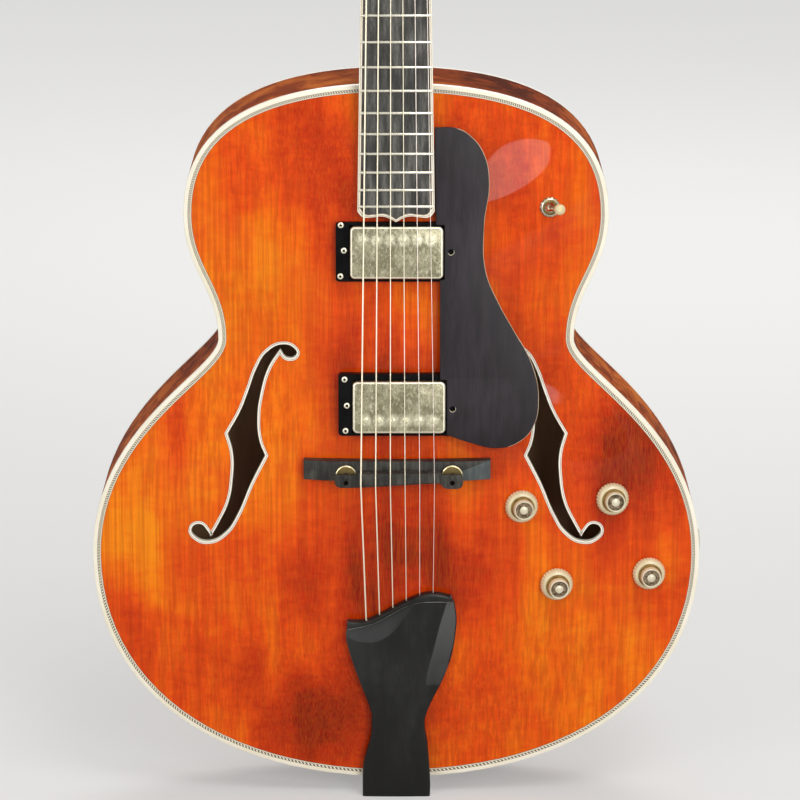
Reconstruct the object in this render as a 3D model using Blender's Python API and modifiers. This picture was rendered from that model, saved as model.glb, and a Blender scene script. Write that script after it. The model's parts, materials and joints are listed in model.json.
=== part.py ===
# Hollow-body electric guitar with an arched top, two pickups and a floating bridge.
# Metres. +Z runs up the neck, -Y is the front, +X is the treble side.
# The origin is where the end pin enters the tail end of the body.
import bpy
import bmesh
from math import cos, pi, radians, sin, tan
from mathutils import Matrix, Vector
from mathutils.bvhtree import BVHTree
from mathutils.geometry import interpolate_bezier

# Clearance between pieces that touch
GAP = 0.0003

# Body outline, one half from the tail to the neck: widths, heights and the pull of each curve
BODY_LENGTH = 0.534
LOWER_HALF = 0.2279
LOWER_Z = 0.1759
WAIST_HALF = 0.1318
WAIST_Z = BODY_LENGTH - 0.1914
UPPER_HALF = 0.1567
UPPER_Z = BODY_LENGTH - 0.0974
TAIL_PULL = 0.1416
LOWER_PULL_DOWN = 0.1024
LOWER_PULL_UP = 0.0994
WAIST_PULL_DOWN = 0.0254
WAIST_PULL_UP = 0.0387
UPPER_PULL_DOWN = 0.0418
UPPER_PULL_UP = 0.0693
NECK_PULL = 0.0959
CURVE_STEPS = 8

# Body depth, wall and arches
RIM_DEPTH = 0.084
SIDE_WALL = 0.0026
LINING_WIDTH = 0.007
LINING_HEIGHT = 0.012
PLATE_THICKNESS = 0.005
BINDING_WIDTH = 0.0023
LEDGE_WIDTH = 0.009
ARCH_HEIGHT = 0.020
RIDGE_LOW_Z = 0.150
RIDGE_HIGH_Z = BODY_LENGTH - 0.094
RIDGE_TOP_Z = 0.235
RIDGE_FALL = 0.42
ARCH_SHARPNESS = 0.72
ARCH_RINGS = 7
CUTTER_MARGIN = 0.004

# Scale, neck angle and strings
SCALE_LENGTH = 0.6477
COMPENSATION = 0.001
BODY_FRET = 14
BODY_FRET_INSIDE = 0.0024
FRET_COUNT = 20
NECK_ANGLE = radians(5.0)
STRING_HEIGHT = 0.044
ACTION = 0.0032
STRING_COUNT = 6
STRING_RADII = (0.00062, 0.0005, 0.0004, 0.0003, 0.00024, 0.0002)
STRING_SPREAD_BRIDGE = 0.0543
STRING_SPREAD_NUT = 0.0355
STRING_SPREAD_TAIL = 0.050
STRING_SHIFT_BRIDGE = 0.0012
STRING_SHIFT_TAIL = 0.0026

# Fretboard and nut
BOARD_THICKNESS = 0.0065
BOARD_WIDTH_NUT = 0.0435
BOARD_WIDTH_END = 0.0566
BOARD_BINDING = 0.0022
BOARD_PAST_LAST_FRET = 0.0055
BOARD_POINT = 0.006
FRET_WIDTH = 0.0022
FRET_HEIGHT = 0.001
NUT_WIDTH = 0.005

# Neck, heel and headstock
NECK_DEPTH_NUT = 0.0145
NECK_DEPTH_HEEL = 0.0175
HEEL_LENGTH = 0.062
HEEL_CAP_LENGTH = 0.012
HEEL_CAP_HALF = 0.015
HEEL_STOP = 0.006
TONGUE_WIDTH = 0.040
TONGUE_SINK = 0.004
TONGUE_INTO_NECK = 0.02
NECK_STEPS = 12
HEAD_ANGLE = radians(14.0)
HEAD_THICKNESS = 0.0135
HEAD_LENGTH = 0.182
HEAD_HALF = 0.0375
VENEER_THICKNESS = 0.002
ROD_RADIUS = 0.0025
ROD_LENGTH = 0.36
ROD_CLEARANCE = 0.00075
CHANNEL_DEPTH = 0.008
VENEER_START = 0.001
COVER_START = 0.003
COVER_HALF = 0.010
COVER_LENGTH = 0.036
COVER_THICKNESS = 0.0016

# Tuning machines
POST_FIRST = 0.050
POST_SPACING = 0.041
POST_X = 0.0245
POST_RADIUS = 0.003
POST_RISE = 0.011
GEAR_RADIUS = 0.006
GEAR_THICKNESS = 0.0026
WORM_RADIUS = 0.0028
WORM_LENGTH = 0.010
SPINDLE_RADIUS = 0.0013
LUG_SIZE = 0.0056
LUG_THICKNESS = 0.0024
STRAP_THICKNESS = 0.0012
STRAP_WIDTH = 0.019
STRAP_PAST_POSTS = 0.017
SPINDLE_CLEARANCE = 0.0004
LUG_SINK = 0.0004
KEY_HALF_LENGTH = 0.0075
KEY_HALF_WIDTH = 0.009
KEY_HALF_THICKNESS = 0.0035
KEY_OUT = 0.051
STRING_ON_POST = 0.0055

# Bridge
BRIDGE_LENGTH = 0.1386
BRIDGE_WIDTH = 0.0148
BRIDGE_X = 0.0007
BRIDGE_Z_SHIFT = 0.0057
BRIDGE_TOP = 0.029
BRIDGE_END_TOP = 0.0245
BRIDGE_END_SLOPE = 0.019
SADDLE_WIDTH = 0.0085
SADDLE_SHIFT = 0.0033
SADDLE_HEIGHT = 0.0088
LOBE_RADIUS = 0.0078
WHEEL_RADIUS = 0.0079
WHEEL_THICKNESS = 0.0025
WHEEL_BASS_X = -0.037
WHEEL_TREBLE_X = 0.0415
BRIDGE_POST_RADIUS = 0.002
BRIDGE_POST_CLEARANCE = 0.0004
BRIDGE_POST_FOOT = 0.003
BRIDGE_POST_BELOW_STRINGS = 0.0025
BRIDGE_SINK = 0.004

# Pickups, rings and guard
PICKUP_LENGTH = 0.0683
PICKUP_WIDTH = 0.0385
PICKUP_HEIGHT = 0.024
PICKUP_WALL = 0.002
PICKUP_BELOW_STRINGS = 0.0026
PICKUP_CLEARANCE = 0.0006
NECK_PICKUP_FROM_BOARD = 0.0225
BRIDGE_PICKUP_FROM_SADDLE = 0.0564
NECK_PICKUP_X = 0.0005
BRIDGE_PICKUP_X = 0.0022
RING_END = 0.010
RING_STRIP = 0.0021
RING_STRIP_UPPER = 0.0042
RING_SINK = 0.03
GUARD_BELOW_STRINGS = 0.0046
GUARD_THICKNESS = 0.0032
GUARD_CLEARANCE = 0.0008
GUARD_TOP = 0.2628
GUARD_FOOT = 0.036
GUARD_INNER = 0.0322
SUPPORT_RADIUS = 0.005
SUPPORT_X = 0.084
SUPPORT_Z = 0.090
SUPPORT_SINK = 0.05

# Tailpiece, its bracket and the end pin
TAIL_THICKNESS = 0.0068
TAIL_RISE = 0.012
TAIL_SLOPE = radians(6.7)
TAIL_OVERHANG = 0.016
STRING_HOLE_RADIUS = 0.0012
STRING_HOLE_DEPTH = 0.008
BRACKET_THICKNESS = 0.002
BRACKET_WIDTH = 0.044
BRACKET_REACH = 0.014
BRACKET_DROP = 0.014
PIN_RADIUS = 0.004
PIN_LENGTH = 0.026
PIN_TAPER = 0.006
PIN_HEAD_LENGTH = 0.009
PIN_HEAD_RADIUS = 0.0085
PIN_CLEARANCE = 0.0004
BLOCK_WIDTH = 0.064
BLOCK_LENGTH = 0.040
BAR_X = 0.047
BAR_WIDTH = 0.007
BAR_FOOT = 0.001
BAR_LENGTH = 0.300
BAR_PAST_BRIDGE = 0.0318

# Controls: places on the top, then the sizes that they share
KNOB_PLACES = {
    "neck_volume": (LOWER_HALF - 0.1348, LOWER_Z + 0.0429),
    "neck_tone": (LOWER_HALF - 0.0667, LOWER_Z + 0.0459),
    "bridge_volume": (LOWER_HALF - 0.1080, LOWER_Z - 0.0184),
    "bridge_tone": (LOWER_HALF - 0.0383, LOWER_Z - 0.0127),
}
KNOB_RADIUS = 0.0124
KNOB_CAP_RADIUS = 0.0074
KNOB_HEIGHT = 0.0165
KNOB_LIFT = 0.0018
POT_RADIUS = 0.012
POT_DEPTH = 0.010
POT_SEAT = 0.0009
POT_FLOOR = 0.002
BUSHING_RADIUS = 0.0046
SHAFT_RADIUS = 0.003
SHAFT_CLEARANCE = 0.0004
HOLE_CLEARANCE = 0.0006
SWITCH_PLACE = (UPPER_HALF - 0.0438, UPPER_Z + 0.0066)
SWITCH_DEPTH = 0.020
SWITCH_BUSHING = 0.0058
SWITCH_BORE = 0.0036
SWITCH_WELL = 0.0075
SWITCH_CASE_RADIUS = 0.010
SWITCH_NUT_HEIGHT = 0.003
SWITCH_NUT_RADIUS = 0.0074
SWITCH_THROW = radians(17.0)
LEVER_RADIUS = 0.0015
LEVER_BALL = 0.0024
LEVER_PIVOT = 0.001
LEVER_LENGTH = 0.0205
TIP_RADIUS = 0.0041
JACK_BORE = 0.0033
JACK_BARREL = 0.0058
JACK_FLANGE = 0.009
JACK_DEPTH = 0.018
JACK_FLOOR = 0.002
JACK_PLATE = 0.0028

RIM_HALF = RIM_DEPTH / 2
SCALE_TO_BODY = COMPENSATION + SCALE_LENGTH * 2 ** (-BODY_FRET / 12)
BRIDGE_Z = BODY_LENGTH - BODY_FRET_INSIDE - SCALE_TO_BODY * cos(NECK_ANGLE)
NUT_AT = COMPENSATION + SCALE_LENGTH
BOARD_END = COMPENSATION + SCALE_LENGTH * 2 ** (-FRET_COUNT / 12) - BOARD_PAST_LAST_FRET
NECK_TOP = ACTION + BOARD_THICKNESS + GAP
NECK_PICKUP_AT = BOARD_END - NECK_PICKUP_FROM_BOARD - BOARD_POINT
BRIDGE_PICKUP_AT = BRIDGE_PICKUP_FROM_SADDLE

# The neck frame: its origin is on the strings over the bridge, +Z runs along the strings
NECK_FRAME = (
    Matrix.Translation((0, -RIM_HALF - STRING_HEIGHT, BRIDGE_Z)) @ Matrix.Rotation(-NECK_ANGLE, 4, "X")
)
HEAD_FRAME = (
    NECK_FRAME
    @ Matrix.Translation((0, NECK_TOP, NUT_AT + NUT_WIDTH))
    @ Matrix.Rotation(-HEAD_ANGLE, 4, "X")
)
# The tailpiece frame: +Z up its upper face, -Y out of that face
TAIL_FRAME = Matrix.Translation((0, -RIM_HALF - TAIL_RISE, 0)) @ Matrix.Rotation(TAIL_SLOPE, 4, "X")

materials = {}
parts = None
cutters = None


def clear_scene():
    for thing in list(bpy.data.objects):
        bpy.data.objects.remove(thing, do_unlink=True)


def material(name, colour, roughness, metallic=0.0):
    made = bpy.data.materials.new(name)
    made.use_nodes = True
    shader = made.node_tree.nodes["Principled BSDF"]
    shader.inputs["Base Color"].default_value = (*colour, 1.0)
    shader.inputs["Roughness"].default_value = roughness
    shader.inputs["Metallic"].default_value = metallic
    materials[name] = made


def make_materials():
    material("spruce_top", (0.72, 0.20, 0.03), 0.15)
    material("maple_body", (0.28, 0.08, 0.02), 0.15)
    material("cream_binding", (0.85, 0.76, 0.58), 0.3)
    material("spruce_inside", (0.62, 0.46, 0.27), 0.7)
    material("mahogany_neck", (0.22, 0.07, 0.03), 0.2)
    material("ebony", (0.025, 0.024, 0.026), 0.4)
    material("guard_wood", (0.045, 0.030, 0.035), 0.4)
    material("bone", (0.82, 0.76, 0.62), 0.4)
    material("steel", (0.55, 0.56, 0.58), 0.35, 1.0)
    material("nickel", (0.62, 0.60, 0.53), 0.25, 1.0)
    material("brass", (0.72, 0.56, 0.25), 0.3, 1.0)
    material("bronze_string", (0.70, 0.60, 0.42), 0.35, 1.0)
    material("black_plastic", (0.02, 0.02, 0.02), 0.35)
    material("cream_plastic", (0.80, 0.68, 0.44), 0.3)
    material("pearloid_key", (0.75, 0.72, 0.62), 0.3)


def place(thing, name, finish, matrix=None):
    """Name an object, give it its material and set where it stands."""
    thing.name = name
    thing.data.name = name
    if finish:
        thing.data.materials.clear()
        thing.data.materials.append(materials[finish])
    if matrix is not None:
        thing.matrix_world = matrix
    for group in list(thing.users_collection):
        group.objects.unlink(thing)
    (parts if finish else cutters).objects.link(thing)
    if not finish:
        thing.hide_render = True
        thing.display_type = "WIRE"
    return thing


def apply_shape(thing):
    """Replace a curve or a modified mesh by the closed mesh that it evaluates to."""
    bpy.context.view_layer.update()
    shape = bpy.data.meshes.new_from_object(thing.evaluated_get(bpy.context.evaluated_depsgraph_get()))
    welded = bmesh.new()
    welded.from_mesh(shape)
    bmesh.ops.remove_doubles(welded, verts=welded.verts, dist=0.00001)
    welded.to_mesh(shape)
    welded.free()
    made = bpy.data.objects.new(thing.name, shape)
    bpy.context.scene.collection.objects.link(made)
    made.matrix_world = thing.matrix_world
    bpy.data.objects.remove(thing, do_unlink=True)
    return made


def new_object(data):
    thing = bpy.data.objects.new(data.name, data)
    bpy.context.scene.collection.objects.link(thing)
    return thing


def flat_outline(points, depth, smooth=(), steps=3):
    """Plate with its outline in X and Z, centred on Y. Points named in smooth get round handles."""
    curve = bpy.data.curves.new("outline", "CURVE")
    curve.dimensions = "2D"
    curve.fill_mode = "BOTH"
    curve.extrude = depth / 2
    curve.resolution_u = steps
    spline = curve.splines.new("BEZIER")
    spline.use_cyclic_u = True
    spline.bezier_points.add(len(points) - 1)
    for index, (knot, (x, z)) in enumerate(zip(spline.bezier_points, points)):
        knot.co = (x, z, 0)
        kind = "AUTO" if index in smooth else "VECTOR"
        knot.handle_left_type = kind
        knot.handle_right_type = kind
    made = apply_shape(new_object(curve))
    made.data.transform(Matrix.Rotation(pi / 2, 4, "X"))
    return made


def box(size, centre):
    """Block as a mesh object, with its size and centre in its own frame."""
    shape = bpy.data.meshes.new("box")
    solid = bmesh.new()
    bmesh.ops.create_cube(solid, size=1.0)
    bmesh.ops.scale(solid, vec=size, verts=solid.verts)
    bmesh.ops.translate(solid, vec=centre, verts=solid.verts)
    solid.to_mesh(shape)
    solid.free()
    return new_object(shape)


def turned(profile, steps=12, closed=False):
    """Solid of revolution about Z from (radius, height) points that run down the outer side."""
    shape = bpy.data.meshes.new("turned")
    count = len(profile)
    edges = [(i, i + 1) for i in range(count - 1)]
    if closed:
        edges.append((count - 1, 0))
    shape.from_pydata([(r, 0, h) for r, h in profile], edges, [])
    thing = new_object(shape)
    screw = thing.modifiers.new("turn", "SCREW")
    screw.steps = steps
    screw.render_steps = steps
    screw.use_merge_vertices = True
    screw.merge_threshold = 0.00005
    screw.use_smooth_shade = True
    return apply_shape(thing)


def cylinder(radius, low, high, steps=12):
    return turned([(0, high), (radius, high), (radius, low), (0, low)], steps)


def boolean(thing, tool, operation, name):
    change = thing.modifiers.new(name, "BOOLEAN")
    change.operation = operation
    change.solver = "EXACT"
    change.object = tool
    if tool.name not in cutters.objects:
        place(tool, "cut_" + name, None, tool.matrix_world.copy())
    bpy.context.view_layer.update()


def cut(thing, tool, name):
    boolean(thing, tool, "DIFFERENCE", name)


def join(thing, tool, name):
    boolean(thing, tool, "UNION", name)


def merge_shapes(things):
    """One mesh object from several that share a frame, kept as separate shells."""
    merged = bmesh.new()
    for thing in things:
        shape = thing.data.copy()
        shape.transform(thing.matrix_world)
        merged.from_mesh(shape)
        bpy.data.objects.remove(thing, do_unlink=True)
    shape = bpy.data.meshes.new("merged")
    merged.to_mesh(shape)
    merged.free()
    return new_object(shape)


def soften(thing, width, segments=2):
    bevel = thing.modifiers.new("soften", "BEVEL")
    bevel.width = width
    bevel.segments = segments
    bevel.limit_method = "ANGLE"
    bevel.angle_limit = radians(35)


def shade(thing):
    thing.data.shade_smooth()
    thing.data.set_sharp_from_angle(angle=radians(35))


def outline_knots():
    """Knots of the half outline with the handle before and after each one."""
    return [
        ((0, 0), (0, 0), (TAIL_PULL, 0)),
        ((LOWER_HALF, LOWER_Z), (LOWER_HALF, LOWER_Z - LOWER_PULL_DOWN), (LOWER_HALF, LOWER_Z + LOWER_PULL_UP)),
        ((WAIST_HALF, WAIST_Z), (WAIST_HALF, WAIST_Z - WAIST_PULL_DOWN), (WAIST_HALF, WAIST_Z + WAIST_PULL_UP)),
        ((UPPER_HALF, UPPER_Z), (UPPER_HALF, UPPER_Z - UPPER_PULL_DOWN), (UPPER_HALF, UPPER_Z + UPPER_PULL_UP)),
        ((0, BODY_LENGTH), (NECK_PULL, BODY_LENGTH), (0, BODY_LENGTH)),
    ]


def half_outline():
    """Points of the half outline from the tail to the neck, as (x, z)."""
    knots = outline_knots()
    points = [Vector((0, 0))]
    for start, end in zip(knots, knots[1:]):
        stretch = interpolate_bezier(start[0], start[2], end[1], end[0], CURVE_STEPS + 1)
        points += [Vector(point[:2]) for point in stretch[1:]]
    return points


def inset_outline(distance):
    """The half outline moved inwards, square to itself."""
    points = half_outline()
    moved = []
    for index, point in enumerate(points):
        before = points[index - 1] if index else Vector((-points[1].x, points[1].y))
        after = points[index + 1] if index < len(points) - 1 else Vector((-points[-2].x, points[-2].y))
        along = (after - before).normalized()
        moved.append(point + Vector((-along.y, along.x)) * distance)
    moved[0].x = 0
    moved[-1].x = 0
    return moved


def edge_height(points, x):
    """Height of an outline where it first reaches x, going from its first point on the centre line."""
    for start, end in zip(points, points[1:]):
        if start.x <= x <= end.x:
            return start.y + (end.y - start.y) * (x - start.x) / (end.x - start.x)
    return points[-1].y


def arch(share):
    """Height of the arch from the ledge, 0, to the ridge, 1, with a hollow sweep near the edge."""
    return (1 - cos(pi * share ** ARCH_SHARPNESS)) / 2


def ridge(share):
    """A point of the ridge line as z and height, from its tail end, 0, to its neck end, 1."""
    z = RIDGE_LOW_Z + (RIDGE_HIGH_Z - RIDGE_LOW_Z) * share
    reach = (z - RIDGE_TOP_Z) / (RIDGE_HIGH_Z - RIDGE_TOP_Z)
    return z, ARCH_HEIGHT * (1 - RIDGE_FALL * reach ** 2)


def arched_sheet(edge_inset, lift=0.0):
    """Half of the arched face as an open grid: rows follow the outline, columns climb to the ridge."""
    rows = 4 * CURVE_STEPS
    edge = inset_outline(edge_inset)
    ledge = inset_outline(LEDGE_WIDTH)
    shape = bpy.data.meshes.new("arched_sheet")
    sheet = bmesh.new()
    bmesh.ops.create_grid(sheet, x_segments=ARCH_RINGS + 1, y_segments=rows, size=0.5)
    for vert in sheet.verts:
        column = round((vert.co.x + 0.5) * (ARCH_RINGS + 1))
        row = round((vert.co.y + 0.5) * rows)
        share = max(column - 1, 0) / ARCH_RINGS
        top_z, top_height = ridge(row / rows)
        start = ledge[row] if column else edge[row]
        place_2d = start.lerp(Vector((0, top_z)), share)
        vert.co = (place_2d.x, -RIM_HALF - top_height * arch(share) - lift, place_2d.y)
    for vert in sheet.verts:
        if vert.co.x < 0.00001:
            vert.co.x = 0
    bmesh.ops.recalc_face_normals(sheet, faces=sheet.faces)
    sheet.normal_update()
    if sum(face.normal.y for face in sheet.faces) > 0:
        bmesh.ops.reverse_faces(sheet, faces=sheet.faces)
    sheet.to_mesh(shape)
    sheet.free()
    return new_object(shape)


def arched_plate(edge_inset, thickness, lift=0.0):
    """Whole arched plate: the half sheet, mirrored and given its thickness inwards."""
    plate = arched_sheet(edge_inset, lift)
    mirror = plate.modifiers.new("other_half", "MIRROR")
    mirror.use_axis = (True, False, False)
    mirror.use_clip = True
    mirror.merge_threshold = 0.00005
    wall = plate.modifiers.new("thickness", "SOLIDIFY")
    wall.thickness = thickness
    wall.offset = -1
    return apply_shape(plate)


def top_surface():
    """Finds points and normals on the outer face of the top."""
    sheet = arched_sheet(BINDING_WIDTH + GAP)
    shape = sheet.data
    tree = BVHTree.FromPolygons([v.co for v in shape.vertices], [p.vertices for p in shape.polygons])
    bpy.data.objects.remove(sheet, do_unlink=True)

    def find(x, z):
        spot, normal, _, _ = tree.ray_cast(Vector((abs(x), -1, z)), Vector((0, 1, 0)))
        if x < 0:
            spot.x = -spot.x
            normal.x = -normal.x
        return spot, normal

    return find


def clearance_cutter(lift, thickness):
    """Arched slab that reaches past the outline, to seat a piece on the top or under it."""
    return arched_plate(-CUTTER_MARGIN, thickness, lift)


def outline_ring(section):
    """Sweeps a closed section of (inset, y) points once round the body outline."""
    path = bpy.data.curves.new("body_outline", "CURVE")
    path.dimensions = "2D"
    path.fill_mode = "NONE"
    path.resolution_u = CURVE_STEPS
    spline = path.splines.new("BEZIER")
    knots = outline_knots()
    half = knots[1:-1]
    loop = [((0, 0), (-TAIL_PULL, 0), (TAIL_PULL, 0))] + half
    loop.append(((0, BODY_LENGTH), (NECK_PULL, BODY_LENGTH), (-NECK_PULL, BODY_LENGTH)))
    loop += [tuple((-x, z) for x, z in (knot, after, before)) for knot, before, after in reversed(half)]
    spline.bezier_points.add(len(loop) - 1)
    for knot, (point, before, after) in zip(spline.bezier_points, loop):
        knot.handle_left_type = "FREE"
        knot.handle_right_type = "FREE"
        knot.co = (*point, 0)
        knot.handle_left = (*before, 0)
        knot.handle_right = (*after, 0)
    spline.use_cyclic_u = True
    profile = bpy.data.curves.new("section", "CURVE")
    profile.dimensions = "2D"
    profile.fill_mode = "NONE"
    line = profile.splines.new("POLY")
    line.points.add(len(section) - 1)
    for point, (inset, y) in zip(line.points, section):
        point.co = (inset, -y, 0, 1)
    line.use_cyclic_u = True
    guide = place(new_object(profile), "section_guide", None)
    path.bevel_mode = "OBJECT"
    path.bevel_object = guide
    ring = apply_shape(new_object(path))
    bpy.data.objects.remove(guide, do_unlink=True)
    ring.data.transform(Matrix.Rotation(pi / 2, 4, "X"))
    check = bmesh.new()
    check.from_mesh(ring.data)
    bmesh.ops.recalc_face_normals(check, faces=check.faces)
    check.to_mesh(ring.data)
    check.free()
    return ring


def hole_tool(radius, low, high, matrix, name, steps=12):
    tool = cylinder(radius, low, high, steps)
    return place(tool, name, None, matrix)


def stand_on(spot, normal):
    """Frame at a point of a surface with +Z out along the normal and +Y near the neck direction."""
    out = normal.normalized()
    side = Vector((0, 0, 1)).cross(out).normalized()
    up = out.cross(side)
    turn = Matrix((side, up, out)).transposed().to_4x4()
    return Matrix.Translation(spot) @ turn


def f_hole_cutter(side):
    """Outline of one sound hole, in bass side places measured from the bridge."""
    edge = [
        (0.0837, 0.0973), (0.0958, 0.0907), (0.1036, 0.0781), (0.1097, 0.0615), (0.1158, 0.0461),
        (0.1255, 0.0288), (0.1216, 0.0142), (0.1218, -0.0046), (0.1250, -0.0226), (0.1329, -0.0398),
        (0.1386, -0.0500), (0.1406, -0.0463), (0.1472, -0.0405), (0.1533, -0.0450), (0.1495, -0.0517),
        (0.1396, -0.0537), (0.1274, -0.0465), (0.1185, -0.0326), (0.1084, -0.0087), (0.0973, 0.0135),
        (0.1016, 0.0247), (0.1030, 0.0422), (0.1006, 0.0596), (0.0948, 0.0788), (0.0859, 0.0931),
        (0.0805, 0.0871), (0.0736, 0.0901), (0.0750, 0.0945),
    ]
    corners = (5, 10, 19, 24)
    points = [(side * x, z) for x, z in edge]
    smooth = [i for i in range(len(edge)) if i not in corners]
    tool = flat_outline(points, 0.05, smooth, 2)
    name = "cut_f_hole_" + ("treble" if side > 0 else "bass")
    return place(tool, name, None, Matrix.Translation((0, -RIM_HALF - ARCH_HEIGHT / 2, BRIDGE_Z)))


def rounded_block(length, width, height, corner):
    """Block in the neck frame: length along X, width along Z, height from y 0 inwards."""
    block = box((length, height, width), (0, height / 2, 0))
    edges = bmesh.new()
    edges.from_mesh(block.data)
    uprights = [e for e in edges.edges if abs(e.verts[0].co.y - e.verts[1].co.y) > height / 2]
    bmesh.ops.bevel(edges, geom=uprights, offset=corner, segments=3, affect="EDGES", profile=0.5)
    edges.to_mesh(block.data)
    edges.free()
    return block


def pickup_frame(along, x, below):
    return NECK_FRAME @ Matrix.Translation((x, below, along))


def make_body(surface):
    top = arched_plate(BINDING_WIDTH + GAP, PLATE_THICKNESS)
    place(top, "top_plate", "spruce_top")
    shade(top)
    for side in (-1, 1):
        tool = f_hole_cutter(side)
        cut(top, tool, tool.name)
    opening_length = PICKUP_LENGTH + 2 * PICKUP_CLEARANCE
    opening_width = PICKUP_WIDTH + 2 * PICKUP_CLEARANCE
    for label, along, x in pickup_list():
        tool = box((opening_length, 0.09, opening_width), (0, 0.04, 0))
        cut(top, place(tool, "cut_pocket_" + label, None, pickup_frame(along, x, 0)), "pocket_" + label)
    for label, (x, z) in KNOB_PLACES.items():
        frame = stand_on(*surface(x, z))
        reach = 2 * PLATE_THICKNESS
        tool = hole_tool(BUSHING_RADIUS + HOLE_CLEARANCE, -reach, reach, frame, "cut_pot_hole_" + label)
        cut(top, tool, "pot_hole_" + label)
    frame = stand_on(*surface(*SWITCH_PLACE))
    reach = 2 * PLATE_THICKNESS
    tool = hole_tool(SWITCH_BUSHING + HOLE_CLEARANCE, -reach, reach, frame, "cut_switch_hole")
    cut(top, tool, "switch_hole")

    back = arched_plate(BINDING_WIDTH + GAP, PLATE_THICKNESS)
    back.data.transform(Matrix.Rotation(pi, 4, "Z"))
    place(back, "back_plate", "maple_body")
    shade(back)

    edge = RIM_HALF - PLATE_THICKNESS - GAP
    step = edge - LINING_HEIGHT
    slope = step - (LINING_WIDTH - SIDE_WALL)
    section = [
        (0, -edge), (0, edge), (LINING_WIDTH, edge), (LINING_WIDTH, step), (SIDE_WALL, slope),
        (SIDE_WALL, -slope), (LINING_WIDTH, -step), (LINING_WIDTH, -edge),
    ]
    rim = place(outline_ring(section), "rim", "maple_body")
    shade(rim)
    jack_frame = Matrix.Translation((LOWER_HALF, 0, LOWER_Z)) @ Matrix.Rotation(pi / 2, 4, "Y")
    tool = hole_tool(JACK_BARREL + HOLE_CLEARANCE, -0.02, 0.02, jack_frame, "cut_jack_hole")
    cut(rim, tool, "jack_hole")
    pin_tool = hole_tool(PIN_RADIUS + PIN_CLEARANCE, -0.02, 0.03, Matrix.Identity(4), "cut_pin_hole")
    cut(rim, pin_tool, "pin_hole")

    inner = RIM_HALF - PLATE_THICKNESS
    for name, face in (("top_binding", -1), ("back_binding", 1)):
        low, high = sorted((face * inner, face * RIM_HALF))
        strip = outline_ring([(0, low), (0, high), (BINDING_WIDTH, high), (BINDING_WIDTH, low)])
        shade(place(strip, name, "cream_binding"))

    block_depth = 2 * (RIM_HALF - PLATE_THICKNESS - 2 * GAP)
    inner_edge = inset_outline(LINING_WIDTH)
    tail_seat = edge_height(inner_edge, BLOCK_WIDTH / 2) + GAP
    neck_seat = edge_height(inner_edge[::-1], BLOCK_WIDTH / 2) - GAP
    for name, centre in (
        ("tail_block", tail_seat + BLOCK_LENGTH / 2),
        ("neck_block", neck_seat - BLOCK_LENGTH / 2),
    ):
        block = box((BLOCK_WIDTH, block_depth, BLOCK_LENGTH), (0, 0, centre))
        place(block, name, "spruce_inside")
        if name == "tail_block":
            cut(block, pin_tool, "pin_hole")

    roof = clearance_cutter(-PLATE_THICKNESS - GAP, -0.04)
    place(roof, "cut_under_top", None)
    for name, side in (("tone_bar_bass", -1), ("tone_bar_treble", 1)):
        depth = ARCH_HEIGHT - BAR_FOOT
        bar = box((BAR_WIDTH, depth, BAR_LENGTH), (side * BAR_X, -RIM_HALF - ARCH_HEIGHT + depth / 2, BRIDGE_Z + BAR_PAST_BRIDGE))
        place(bar, name, "spruce_inside")
        cut(bar, roof, "under_top")


def pickup_list():
    return (
        ("neck", NECK_PICKUP_AT, NECK_PICKUP_X),
        ("bridge", BRIDGE_PICKUP_AT, BRIDGE_PICKUP_X),
    )


def board_half(along, margin=0.0):
    """Half the fretboard's width at a distance along the neck from the bridge."""
    share = (along - BOARD_END) / (NUT_AT - BOARD_END)
    return (BOARD_WIDTH_END + (BOARD_WIDTH_NUT - BOARD_WIDTH_END) * share) / 2 - margin


def board_side(margin):
    """Treble half of the fretboard outline, from the point at its end to the nut."""
    end = BOARD_END + margin
    half = board_half(BOARD_END, margin)
    return [
        (0, end - BOARD_POINT),
        (0.33 * half, end - 0.25 * BOARD_POINT),
        (0.78 * half, end - 0.45 * BOARD_POINT),
        (half, end),
        (board_half(NUT_AT, margin), NUT_AT),
    ]


def mirrored(points):
    """Closed outline from its treble half, which starts on the centre line."""
    return points + [(-x, z) for x, z in reversed(points) if x > 0]


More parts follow.
